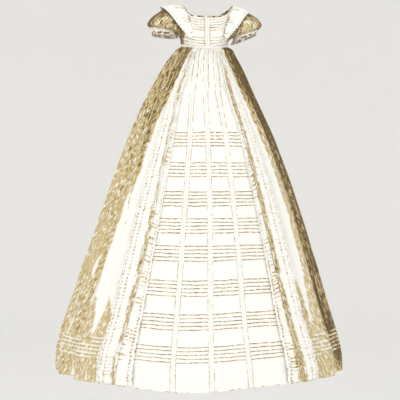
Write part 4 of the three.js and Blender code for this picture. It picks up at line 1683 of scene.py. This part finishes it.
@dataclass
class Bodice:
    """The bodice: two tucked fronts with an insertion strip between them, two plain backs, and the bindings.

    Attributes:
        front: Form of one half of the front.
        back: Form of one half of the back.
        tucks: Its groups of tucks, under the neck and above the waist.
        lean: How far all but the shoulders lean to the left.
        fuller: How much further the left side stands out low down.
        gathers: Number of small gathers at each panel's waist seam.
        under_strip: How far a front reaches under the strip, as a share of its width.
        panel_flat: Flat size of a panel, in metres.
        panel_area: Its flat area.
        strip_wide: Width of the insertion strip.
        strip_eyelets: Number of its eyelets.
    """

    front: BodiceForm = BodiceForm(
        -1, ((7, -57, -40), (22, -56, -40), (38, -51, -38), (52, -37, -28), (61, -18, -13), (67, 0, -3.6))
    )
    back: BodiceForm = BodiceForm(
        1, ((0, 54, -26), (22, 53, -25), (40, 47, -22), (54, 33, -15), (62, 16, -8), (67, 0, -3.6))
    )
    tucks: tuple[Tucks, ...] = (
        Tucks(-47.5, 5, 6.8, stand=1.2, line=1.7),
        Tucks(-95, 4, 7.4, stand=1.2, line=1.7),
    )
    lean: float = 4.5
    fuller: float = 6.5
    gathers: int = 21
    under_strip: float = 0.012
    panel_flat: Pair = (0.1, 0.13)
    panel_area: float = 0.0098
    strip_wide: float = 13.4
    strip_eyelets: int = 10

    def settle(self, points: Floats) -> Floats:
        """Settles points of the bodice as its cloth hangs.

        All but the shoulders lean to the left, and the left side stands further out low down.

        Args:
            points: Points of the even bodice.

        Returns:
            The settled points.
        """
        x, z = points[..., 0], points[..., 2]
        free = 1 - ease((np.abs(x) - 40) / 25) * ease((z + 80) / 40)
        side = ease((-x - 20) / 40) * ease((-70 - z) / 35)
        return points - stack(self.lean * free + self.fuller * side, 0 * x, 0 * x)

    def panel(self, part: str, form: BodiceForm, side: Side) -> None:
        """Builds one panel: its form, moved out along the normal by the tucks and by soft swells.

        Args:
            part: The front or the back, as in its name and its solid's.
            form: That part's form.
            side: Which side of the gown it is on.
        """
        groups, lap = (self.tucks, self.under_strip) if form is self.front else ((), 0.0)
        top = form.neck[0][2]
        z, out, tuck_tone = TuckedRows(groups, top, form.waist, step=3.5).rows()[:, ::-1]
        v = (z - form.waist) / (top - form.waist)
        s = np.linspace(0, 1, 61)[None, :] * (1 + lap) - lap
        seed = 200 + 10 * side.value + form.facing

        swell = 0.7 * noise(s * 6, v * 5, seed) * ease(v * 5) * ease((1 - v) * 5)
        eased = wave(s * self.gathers + 0.4 * noise(s * 9, v * 3, seed))
        stand = out * (1 + 0.15 * noise(s * 9, v * 9, seed)) + swell + 0.35 * eased * np.exp(-v * 9)
        level = np.clip(v + 0.006 * noise(s * 7, v * 30, seed + 1), 0, 1)
        points = form.off(s, level, stand)
        points[..., 0] *= side.value

        # Painted shade: lines under the tucks, the sides where the bodice turns away, and the small gathers
        # at the waist.
        wander = np.clip(0.6 + 0.6 * noise(s * 9, v * 25, seed + 2), 0.1, 1)
        shade = s - (0.62 if side is Side.LEFT else 0.78)
        edge = 0.55 * ease(shade / 0.1) + 0.4 * ease((shade - 0.12) / 0.08)
        edge = edge + 0.35 * np.exp(-v * 22) * (0.6 + 0.4 * wave(s * self.gathers))
        tone = np.maximum(tuck_tone * wander * 1.25, edge)
        cloth = Cloth.grid(self.settle(points), s * 92, (1 - v) * 90, tone)
        cut = Cut(f"bodice_{part}_{side.word}", self.panel_flat, "stretched", self.panel_area)
        sew(f"bodice_half_{part}_{side.word}", cloth.facing_out(), LAWN, cut)

    def strip(self) -> None:
        """Builds the insertion strip: its whitework is laid between the centre edges of the fronts."""
        wide, count = self.strip_wide, self.strip_eyelets
        height = self.front.neck[0][2] - self.front.waist
        work = Openwork(count, height / count, INSERTION_BANDS)
        lay = work.lay(np.full(count, wide))
        v = np.clip(1 - lay.along / count, 0, 1)
        edge = self.front.point(0, v)
        seam = lay.near_lines(*INSERTION_SEAMS)
        x = (lay.across - 0.5) * 2 * (edge[:, 0] + 0.3)
        points = stack(x, edge[:, 1] - 0.8 - lay.raised - 0.3 * seam, edge[:, 2])
        # Painted shade along the seams, in dashes, and a little round the eyelets.
        seam_shade = 1.1 * seam * ease(0.8 + noise(lay.along * 2, 9 * lay.across, 87))
        tone = np.maximum(seam_shade, 0.4 * lay.rim)
        cloth = lay.cloth(self.settle(points), lay.across * wide, lay.along * work.pitch, tone)
        node = "bodice_strip"
        cut = Cut(node, (0.014, 0.087), "stretched")
        sew("bodice_insertion", cloth.facing_out(), INSERTION, cut)

    @staticmethod
    def ring(front: Floats, back: Floats) -> Floats:
        """A closed path round the body from half of it: out along the front, in along the back, mirrored."""
        half = np.concatenate([front, back[-2::-1]])
        return np.concatenate([half, (half * np.array([-1, 1, 1]))[::-1]])

    def waist_path(self, count: int = 41, v: float = 0.03, out: float = 1.3) -> Floats:
        """A path round the bodice a share of the way up, and a distance off it."""
        s = np.linspace(0, 1, count)
        return self.ring(self.front.off(s, v, out), self.back.off(s, v, out))

    def neck_path(self, count: int = 41) -> Floats:
        """The neck edge, front and back, closed over the shoulders."""
        s = np.linspace(0, self.front.corner, count)
        return self.ring(self.front.top_edge(s), self.back.top_edge(s))

    def binding(self, place: str, path: Floats, tape: Tape) -> None:
        """Builds a folded tape round the body: its section is carried round a closed path.

        Args:
            place: Its place, as in its name and its solid's.
            path: The seam that it covers.
            tape: Its form and tone.
        """
        path, section = self.settle(path), np.array(tape.section)
        run, width = run_along(path), run_along(section)
        out = section[:, :1] + tape.pucker * noise(run / 2.6, 0, 17)
        points = path + unit(path * np.array([1, 1, 0])) * out[..., None]
        points = points + np.array([0, 0, 1]) * section[:, 1, None, None]
        # Painted shade in dashes along the tape's stitched edges, less between them.
        ends = np.abs(np.linspace(-1, 1, len(section)))[:, None] ** 4
        dashes = ease(0.85 + 0.8 * noise(run / 4, 0, 19))
        tone = tape.tone * np.maximum(ends, tape.between) * dashes
        cloth = Cloth.grid(points, run, width[:, None], tone, closed=True)
        cut = Cut(f"{place}_binding", (0.01, float(run[-1]) * MM), "folded", on="bodice_front_left")
        sew(f"{place}_band", cloth.facing_out(), TAPE, cut, thick=0.3)

    def build(self) -> None:
        """Builds every piece of the bodice."""
        for side in Side:
            self.panel("front", self.front, side)
            self.panel("back", self.back, side)
        self.strip()
        self.binding("waist", self.waist_path(), WAIST_TAPE)
        self.binding("neck", self.neck_path(), NECK_TAPE)


# ---- sleeves ----


@dataclass
class Sleeve:
    """A short puff sleeve: a gathered puff, a narrow openwork band, and a scalloped frill.

    Attributes:
        side: Which side it is on.
        rings: Its rings from the armhole to the frill's edge: centre, tilt in degrees, and half axes.
        robing: The flap that lies over its upper end.
        even: Tone of the shade painted on the puff away from its edges.
        around: Number of points round the puff.
        gathers: Number of its gathers.
        gather_wide: Half width of a gather, in radians.
        edge_at: Angle from its outer end at which its shade is deepest, in radians.
        cuff: Ring of the band's upper edge; the frill's is the next.
        band_eyelets: Number of eyelets in the band.
        frill_eyelets: Number in a row of the frill.
        eyelet_pitch: Distance between two of them.
        band_wide: Width of the band.
        frill_wide: Width of the frill's flat cloth.
    """

    side: Side
    rings: Sections
    robing: "ShoulderRobing"
    even: float
    around: int = 200
    gathers: int = 40
    gather_wide: float = 0.055
    edge_at: float = 0.25
    cuff: float = 5.0
    band_eyelets: int = 40
    frill_eyelets: int = 52
    eyelet_pitch: float = 5.6
    band_wide: float = 8.0
    frill_wide: float = 14.0

    def point(self, v: Floats, turn: Floats, out: Floats, onward: Numbers = 0.0) -> Floats:
        """The surface: an oval ring for each place along the sleeve.

        Args:
            v: Place along the sleeve, in rings.
            turn: Angle round the ring, in radians, from its outer end.
            out: Distance outwards from the ring.
            onward: Distance further along the sleeve.

        Returns:
            The points, on the sleeve's own side of the gown.
        """
        read = self.rings.read
        tilt = np.radians(read("tilt", v))
        wide = (read("half", v) + out) * np.cos(turn)
        deep = (read("deep", v) + out) * np.sin(turn)
        x = read("x", v) + wide * np.cos(tilt) + onward * np.sin(tilt)
        z = read("z", v) + wide * np.sin(tilt) - onward * np.cos(tilt)
        return stack(x * self.side.value, -deep, z)

    def middle(self, v: float) -> Place:
        """The middle of the ring at a place along the sleeve."""
        x, z = (float(self.rings.read(column, np.array(v))) for column in ("x", "z"))
        return x * self.side.value, 0.0, z

    def puff(self) -> None:
        """Builds the puff.

        Its gathers are bell-shaped troughs round it, deepest at the armhole and at the band, and the cloth
        between them swells out.
        """
        share = np.linspace(0, 1, 44)[:, None]
        v = share * self.cuff
        turn = np.linspace(0, 2 * np.pi, self.around, endpoint=False)[None, :]
        rng = np.random.default_rng(300 + self.side.value)
        count = self.gathers
        at = (np.arange(count) + rng.uniform(-0.3, 0.3, count)) / count * 2 * np.pi
        depth = rng.uniform(0.5, 1, count)
        skew = rng.normal(0, 0.05, count)
        away = self.turned(turn[..., None] - at - skew * (v[..., None] - self.cuff / 2))
        trough = np.sum(depth * bell(away / self.gather_wide), axis=-1)
        strength = 2.1 * (0.3 + 0.9 * bell(share / 0.22) + 1.1 * bell((1 - share) / 0.28))
        strength = strength * ease(share * 25) * ease((1 - share) * 20)
        bulge = noise(turn * 3, v * 1.3, 310 + self.side.value)
        swell = (1.6 + 1.2 * bulge) * np.sin(np.pi * share)
        points = self.point(v, turn, swell - strength * trough)

        # Painted shade: blotched, deepest at the outer end, near the band, in the gathers' troughs and under
        # the flap.
        blotch = noise(turn * 9, v * 3, 320 + self.side.value)
        outermost = bell(self.turned(turn - self.edge_at) / 0.6)
        under = 0.35 * ease((v - 4.1) / 0.9)
        tone = self.even + 0.1 * blotch + 0.6 * outermost + under + 0.12 * np.clip(trough, 0, 1)
        tone = tone + 0.5 * self.beside_robing(points)
        cloth = Cloth.grid(points, turn / (2 * np.pi) * 260, v * 11, np.clip(tone, 0, 1), closed=True)
        word = self.side.word
        cut = Cut(f"sleeve_{word}", (0.26, 0.072), on=f"bodice_front_{word}")
        sew(f"puff_{word}", cloth.facing_out(self.middle(self.cuff / 2)), LAWN, cut)

    @staticmethod
    def turned(angle: Floats) -> Floats:
        """The same angle between minus half a turn and half a turn, in radians."""
        return (angle + np.pi) % (2 * np.pi) - np.pi

    def beside_robing(self, points: Floats) -> Floats:
        """How near points are to the flap's outer edge, seen from in front, for the painted shadow under it.

        It is 1 under the flap, and falls off over a few millimetres outside it.

        Args:
            points: Points of the sleeve.

        Returns:
            The nearness, from 0 to 1.
        """
        edge = self.robing.outer_edge(np.linspace(0, self.robing.last / 2, 40))
        out = points[..., 0] * self.side.value - np.interp(points[..., 2], edge[:, 2], edge[:, 0])
        return np.exp(-np.clip(out, 0, None) / 6)

    def band(self) -> None:
        """Builds the band under the puff: its openwork is laid round the rings of the cuff."""
        count, pitch, wide = self.band_eyelets, self.eyelet_pitch, self.band_wide
        bands = (Band(0.2), Band(0.8, eyelet=1.3), Band(1))
        lay = Openwork(count, pitch, bands, rim=0.6, closed=True).lay(np.full(count, wide))
        turn = lay.along / count * 2 * np.pi
        v = self.cuff - 0.05 + 1.1 * lay.across
        points = self.point(v, turn, 0.3 + lay.raised * 0.6, (lay.across - 0.5) * 1.5)
        # Light painted shade, uneven, and more round the eyelets.
        tone = np.maximum(0.12 + 0.2 * noise(turn * 6, v, 331), 0.5 * lay.rim)
        cloth = lay.cloth(points, lay.along * pitch, lay.across * wide, tone)
        word = self.side.word
        node, on = f"sleeve_band_{word}", f"sleeve_{word}"
        cut = Cut(node, (0.01, 0.23), "stretched", 0.00184, on)
        sew(f"sleeve_insertion_{word}", cloth.facing_out(self.middle(self.cuff + 1)), INSERTION, cut)

    def frill(self) -> None:
        """Builds the frill: edging laid round the last rings, waving outwards, with a scalloped edge."""
        bands = (Band(0.24, 2), Band(0.5, eyelet=1.3), Band(0.58), Band(0.88, eyelet=1.6), Band(1, 2))
        count, pitch, wide = self.frill_eyelets, self.eyelet_pitch, self.frill_wide
        lay = Openwork(count, pitch, bands, rim=0.7, closed=True).lay(np.full(count, wide))
        turn = lay.along / count * 2 * np.pi
        t = lay.across
        crest = 0.5 + 0.5 * np.cos(13 * turn + 0.9 * noise(turn * 3, 0, 341))
        out = 0.6 + 2.6 * t * crest + 0.5 * lay.raised
        scallop = 2.6 * (np.abs(np.sin(np.pi * lay.along)) ** 0.8 - 0.5) * t**3
        points = self.point(self.cuff + 1 + 0.95 * t, turn, out, scallop)
        # Painted shade: between the crests, in patches, round the eyelets and along the free edge.
        patches = noise(turn * 8, t * 3.5, 342)
        tone = (0.42 + 0.22 * (1 - crest) * (0.4 + t) + 0.9 * patches) * ease(t / 0.35)
        tone = np.maximum(tone, lay.rim * ease(0.6 + 1.2 * patches))
        tone = np.maximum(tone, ease((t - 0.9) / 0.1) * ease(0.7 + noise(turn * 11, 0, 343)))
        cloth = lay.cloth(points, lay.along * pitch, t * wide, tone)
        word = self.side.word
        cut = Cut(f"sleeve_frill_{word}", (0.0125, 0.25), on=f"sleeve_band_{word}")
        sew(f"frill_{word}", cloth.facing_out(self.middle(self.cuff + 1)), EDGING, cut, thick=0.3)

    def build(self) -> None:
        """Builds the puff, the band and the frill."""
        self.puff()
        self.band()
        self.frill()


SLEEVE_COLUMNS = "x z tilt half deep"
SLEEVE_LEFT = Sections.of(
    SLEEVE_COLUMNS,
    (0, 73.5, -50.5, 75.8, 42.8, 36),
    (1, 89, -48, 60, 43, 41),
    (2, 102, -52, 45, 40.5, 45),
    (3, 115, -58.5, 28, 42, 46),
    (4, 121, -65, 15, 41, 43),
    (5, 119, -70, 11, 35.5, 34),
    (6, 118, -75.5, 7, 34, 32),
    (7, 113.5, -86, 4.5, 32.5, 33.5),
)
SLEEVE_RIGHT = Sections.of(
    SLEEVE_COLUMNS,
    (0, 73.5, -50.5, 75.8, 42.8, 36),
    (1, 84.5, -54, 62, 40.5, 40),
    (2, 97, -58.5, 45, 41, 44),
    (3, 105.5, -64.5, 31, 42, 45),
    (4, 108.5, -71, 23, 41.5, 42),
    (5, 105, -77.5, 20, 36, 34),
    (6, 103, -82.5, 20, 35, 32),
    (7, 98.5, -92.5, 21, 33.5, 34),
)


# ---- shoulder robings ----


@dataclass
class ShoulderRobing:
    """An embroidered flap from the waist in front, over the shoulder, to the waist at the back.

    Attributes:
        side: Which side it is on.
        reach: Added to how far its outer edge stands out at the shoulder.
        lift: Added to the height of its outer edge at the shoulder.
        edges: Its inner and outer edge at each place from its front end to its back end.
        bow: How far it bows off the straight line between its edges.
        last: Place of its back end in the table.
        eyelets: Number of its eyelets.
        eyelet_pitch: Distance between two of them.
    """

    side: Side
    reach: float
    lift: float
    edges: Sections = Sections.of(
        "inX inY inZ outX outY outZ",
        (0, 46, -51.5, -97, 50, -49, -97),
        (1, 40, -54, -88, 57, -50, -90),
        (2, 42, -55.5, -74, 70, -52, -76),
        (3, 46, -56.5, -60, 83, -54, -60),
        (4, 52, -53, -44, 96, -50, -42),
        (5, 58, -40, -24, 107, -38, -27),
        (6, 65, -21, -7, 117, -20, -16.5),
        (7, 69.5, 0, 0.6, 121.5, 0, -12.5),
        (8, 66, 20, -4, 117, 20, -16),
        (9, 59, 38, -15, 107, 39, -26),
        (10, 52, 53, -36, 96, 51, -42),
        (11, 46, 58, -58, 86, 55, -60),
        (12, 42, 57.5, -74, 75, 52, -76),
        (13, 40, 56, -88, 63, 48, -90),
        (14, 46, 51.5, -97, 53, 47, -97),
    )
    bow: float = 2.5
    last: float = 14.0
    eyelets: int = 34
    eyelet_pitch: float = 7.6

    def edge(self, which: str, q: Floats) -> Floats:
        """The inner ("in") or outer ("out") edge at places along the flap, as tabled."""
        return stack(*(self.edges.read(which + c, q) for c in "XYZ"))

    def outer_edge(self, q: Floats) -> Floats:
        """The outer edge at places along the flap, as on the right-hand side."""
        height = np.sin(np.pi * q / self.last)
        return self.edge("out", q) + stack(height * self.reach, 0, height * self.lift)

    def build(self) -> None:
        """Builds the flap.

        Its edges follow the table. Between them it bows outwards, lies in small gathers across, and ends in
        scallops along its outer edge, with a row of eyelets inside them.
        """
        bands = (Band(0.08), Band(0.52, 6), Band(0.66, 2), Band(0.77), Band(0.92, eyelet=0.9), Band(1, 2))
        work = Openwork(self.eyelets, self.eyelet_pitch, bands)
        middles = (np.arange(self.eyelets) + 0.5) / self.eyelets * self.last
        lay = work.lay(np.linalg.norm(self.edge("out", middles) - self.edge("in", middles), axis=-1))
        q, t = lay.along / self.eyelets * self.last, lay.across
        turn = np.pi * q / self.last
        outward = unit(stack(0.25, -np.cos(turn), np.sin(turn)))
        scallop = 1 + 0.07 * (np.abs(np.sin(np.pi * lay.along)) ** 0.8 - 0.6) * ease((t - 0.6) / 0.4)
        gather = wave(lay.along * 1.15 + 0.5 * noise(lay.along / 3, 0, 350))
        across = (t * scallop)[:, None]
        out = self.bow * 4 * t * (1 - t) + 0.5 * gather * (0.35 + 0.65 * t) + 0.6 * lay.raised + 0.4
        points = self.edge("in", q) * (1 - across) + self.outer_edge(q) * across + outward * out[:, None]
        points[:, 0] *= self.side.value

        # Painted shade in the troughs of the gathers, along the inner seam, round the eyelets and along the
        # outer edge.
        stroke = np.clip(-gather * 1.6 - 0.8, 0, 1) * ease(0.3 + noise(lay.along / 1.7, 0, 351))
        seam = ease(1 - t / 0.09) * ease(0.6 + noise(lay.along * 1.3, t, 352))
        lip = ease((t - 0.95) / 0.05)
        tones = 1.35 * stroke * ease((0.62 - t) / 0.3), 0.3 * lay.rim, 1.3 * seam, 0.35 * lip
        cloth = lay.cloth(points, t * 45, lay.along * work.pitch, np.max(tones, axis=0))
        name = f"robing_{self.side.word}"
        cut = Cut(name, (0.052, 0.29), "gathered", 0.0108, "neck_binding")
        sew(f"shoulder_{name}", cloth.facing_out((60.0 * self.side.value, 0, -70)), EDGING, cut)


@dataclass
class Buttons:
    """Three thread buttons down the centre back, over the lapped edge of the opening.

    Attributes:
        bodice: The bodice that they close.
        heights: Height of each.
        radius: Radius of a button.
        thick: Half its thickness.
        stand: How far its back stands off the cloth.
        wound: Number of ridges of thread round it.
    """

    bodice: Bodice
    heights: tuple[float, ...] = (-42, -75, -110)
    radius: float = 3.5
    thick: float = 1.7
    stand: float = 1.2
    wound: int = 28

    def build(self) -> None:
        """Builds the buttons.

        Each is a square grid spread into a disc, domed in front, with thread wound from its rim to its
        middle, and closed by a flat grid behind.
        """
        side = np.linspace(-1, 1, 33)
        a, b = np.meshgrid(side, side, indexing="ij")
        far = np.maximum(np.abs(a), np.abs(b))
        long = np.maximum(np.hypot(a, b), 1e-9)
        x, z = a * far / long, b * far / long
        r = np.hypot(x, z)
        wound = 0.09 * np.cos(self.wound * np.arctan2(z, x)) * ease(r * 4) * (1 - r**8)
        dome = (1 - r**4) * 0.75 + 0.25 * bell((r - 0.8) / 0.02**0.5) + wound - 0.22 * bell(r / 0.2)
        # Painted shade in the sunken middle and round the rim.
        tone = 0.15 + 0.3 * bell(r / 0.25) + 0.2 * (r > 0.95)
        shape = self.radius * stack(x, 0.0, z)
        front = shape + stack(0 * x, self.thick * (0.35 + 0.5 * dome), 0.0)
        points = np.concatenate([front.reshape(-1, 3), shape.reshape(-1, 3)])
        faces, count, ring = grid_faces(*x.shape), x.size, self.rim_of(len(x))
        sides = np.stack([ring + count, np.roll(ring, -1) + count, np.roll(ring, -1), ring], axis=-1)
        faces = np.concatenate([faces, sides, faces[:, ::-1] + count])
        flat = np.tile(points[:count, [0, 2]] * MM, (2, 1))
        form = self.bodice.back
        for number, height in enumerate(self.heights, start=1):
            share = (height - form.waist) / (form.neck[0][2] - form.waist)
            seat = self.bodice.settle(form.point(0.04, share)) + np.array([0, self.stand, 0])
            cloth = Cloth(seat + points, faces, flat, np.tile(tone.ravel(), 2))
            cut = Cut(f"button_{number}", None)
            x0, y0, z0 = (seat + points).mean(axis=0).tolist()
            sew(f"thread_button_{number}", cloth.facing_out((x0, y0, z0)), THREAD, cut, thick=0)

    @staticmethod
    def rim_of(n: int) -> Whole:
        """The numbers of the points round the edge of a square grid, in order."""
        grid = np.arange(n * n).reshape(n, n)
        return np.concatenate([grid[0, :-1], grid[:-1, -1], grid[-1, :0:-1], grid[:0:-1, 0]])


# ---- studio ----


@dataclass(frozen=True)
class Lamp:
    """A square soft light: its name, its place and the length of a side in metres, and its power in watts."""

    name: str
    at: Place
    side: float
    power: float


@dataclass
class Studio:
    """A pale floor that curves up far behind the gown, soft light from the front, and the camera.

    Attributes:
        camera_at: Place of the camera.
        turn: How far the camera looks to the right of straight ahead.
        lens: Its focal length, for a 36 mm sensor.
        floor: Height of the floor; this and the lengths after it are in metres.
        level: Radius of its level part.
        bend: Radius of the bend from there into the wall.
        wall: Height of the wall over the floor.
        lamps: The lights, which all face the middle of the gown.
        aim: That middle.
    """

    camera_at: Place = (-295.9, -2985.4, -525.5)
    turn: float = 5.3
    lens: float = 100.0
    floor: float = -1.5
    level: float = 5.0
    bend: float = 3.0
    wall: float = 9.0
    lamps: tuple[Lamp, ...] = (
        Lamp("key", (-2.2, -3.2, 1.1), 1.4, 42.0),
        Lamp("fill", (2.4, -2.8, -0.1), 2.4, 20.0),
    )
    aim: Place = (0.0, 0.0, -0.5)

    def camera(self) -> None:
        """Adds the camera, level and straight."""
        data = bpy.data.cameras.new("camera")
        data.lens = self.lens
        data.sensor_width = 36.0
        data.clip_end = 50.0
        camera = bpy.data.objects.new("camera", data)
        camera.location = [value * MM for value in self.camera_at]
        camera.rotation_euler = (math.pi / 2, 0.0, -math.radians(self.turn))
        bpy.context.scene.collection.objects.link(camera)
        bpy.context.scene.camera = camera

    def backdrop(self) -> None:
        """Adds the floor: a round sheet, level under the gown, that bends up into a wall far off."""
        level, bend = np.linspace(0.001, self.level, 24), np.linspace(0.1, math.pi / 2, 14)
        far = self.level + self.bend
        radius = np.concatenate([level, self.level + self.bend * np.sin(bend), [far]])[:, None]
        rise = np.concatenate([0 * level, self.bend - self.bend * np.cos(bend), [self.wall]])[:, None]
        turn = np.linspace(0, 2 * np.pi, 96, endpoint=False)
        points = stack(radius * np.cos(turn), radius * np.sin(turn), rise + self.floor)
        faces = grid_faces(*points.shape[:2], closed=True)
        mesh = bpy.data.meshes.new("floor")
        mesh.from_pydata(points.reshape(-1, 3).tolist(), [], faces.tolist())
        mesh.polygons.foreach_set("use_smooth", np.ones(len(mesh.polygons), bool))
        paper = bpy.data.materials.new("matt white paper, rolled smooth")
        paper.use_nodes = True
        shader = paper.node_tree.nodes["Principled BSDF"]
        shader.inputs["Base Color"].default_value = linear("#FBFAF8")
        shader.inputs["Roughness"].default_value = 0.95
        shader.inputs["Specular IOR Level"].default_value = 0.1
        mesh.materials.append(paper)
        floor = bpy.data.objects.new("floor", mesh)
        bpy.context.scene.collection.objects.link(floor)

    def light(self, lamp: Lamp) -> None:
        """Adds a light, turned to face the middle of the gown.

        Args:
            lamp: The light.
        """
        data = bpy.data.lights.new(lamp.name, "AREA")
        data.shape = "SQUARE"
        data.size = lamp.side
        data.energy = lamp.power
        x, y, z = (b - a for a, b in zip(lamp.at, self.aim))
        light = bpy.data.objects.new(lamp.name, data)
        light.location = lamp.at
        light.rotation_euler = (math.atan2(math.hypot(x, y), -z), 0.0, math.atan2(-x, y))
        bpy.context.scene.collection.objects.link(light)

    def build(self) -> None:
        """Adds the camera, the floor, the lights and an even white surround."""
        self.camera()
        self.backdrop()
        world = bpy.data.worlds.new("studio")
        world.use_nodes = True
        surround = world.node_tree.nodes["Background"]
        surround.inputs["Color"].default_value = linear("#FFFFFF")
        surround.inputs["Strength"].default_value = 0.9
        bpy.context.scene.world = world
        for lamp in self.lamps:
            self.light(lamp)
        bpy.context.scene.view_settings.view_transform = "Standard"


def main() -> None:
    """Builds the studio and every piece of the gown."""
    logging.basicConfig(level=logging.INFO, format="%(name)s: %(message)s")
    Studio().build()
    Skirt().build()
    bodice = Bodice()
    bodice.build()
    # The last number of each is the tone of the shade painted on the puff, lighter on the right.
    for rings, robing, even in (
        (SLEEVE_LEFT, ShoulderRobing(Side.LEFT, reach=5.0, lift=5.5), 0.49),
        (SLEEVE_RIGHT, ShoulderRobing(Side.RIGHT, reach=-5.5, lift=-5.0), 0.41),
    ):
        Sleeve(robing.side, rings, robing, even).build()
        robing.build()
    Buttons(bodice).build()


if __name__ == "__main__":
    main()
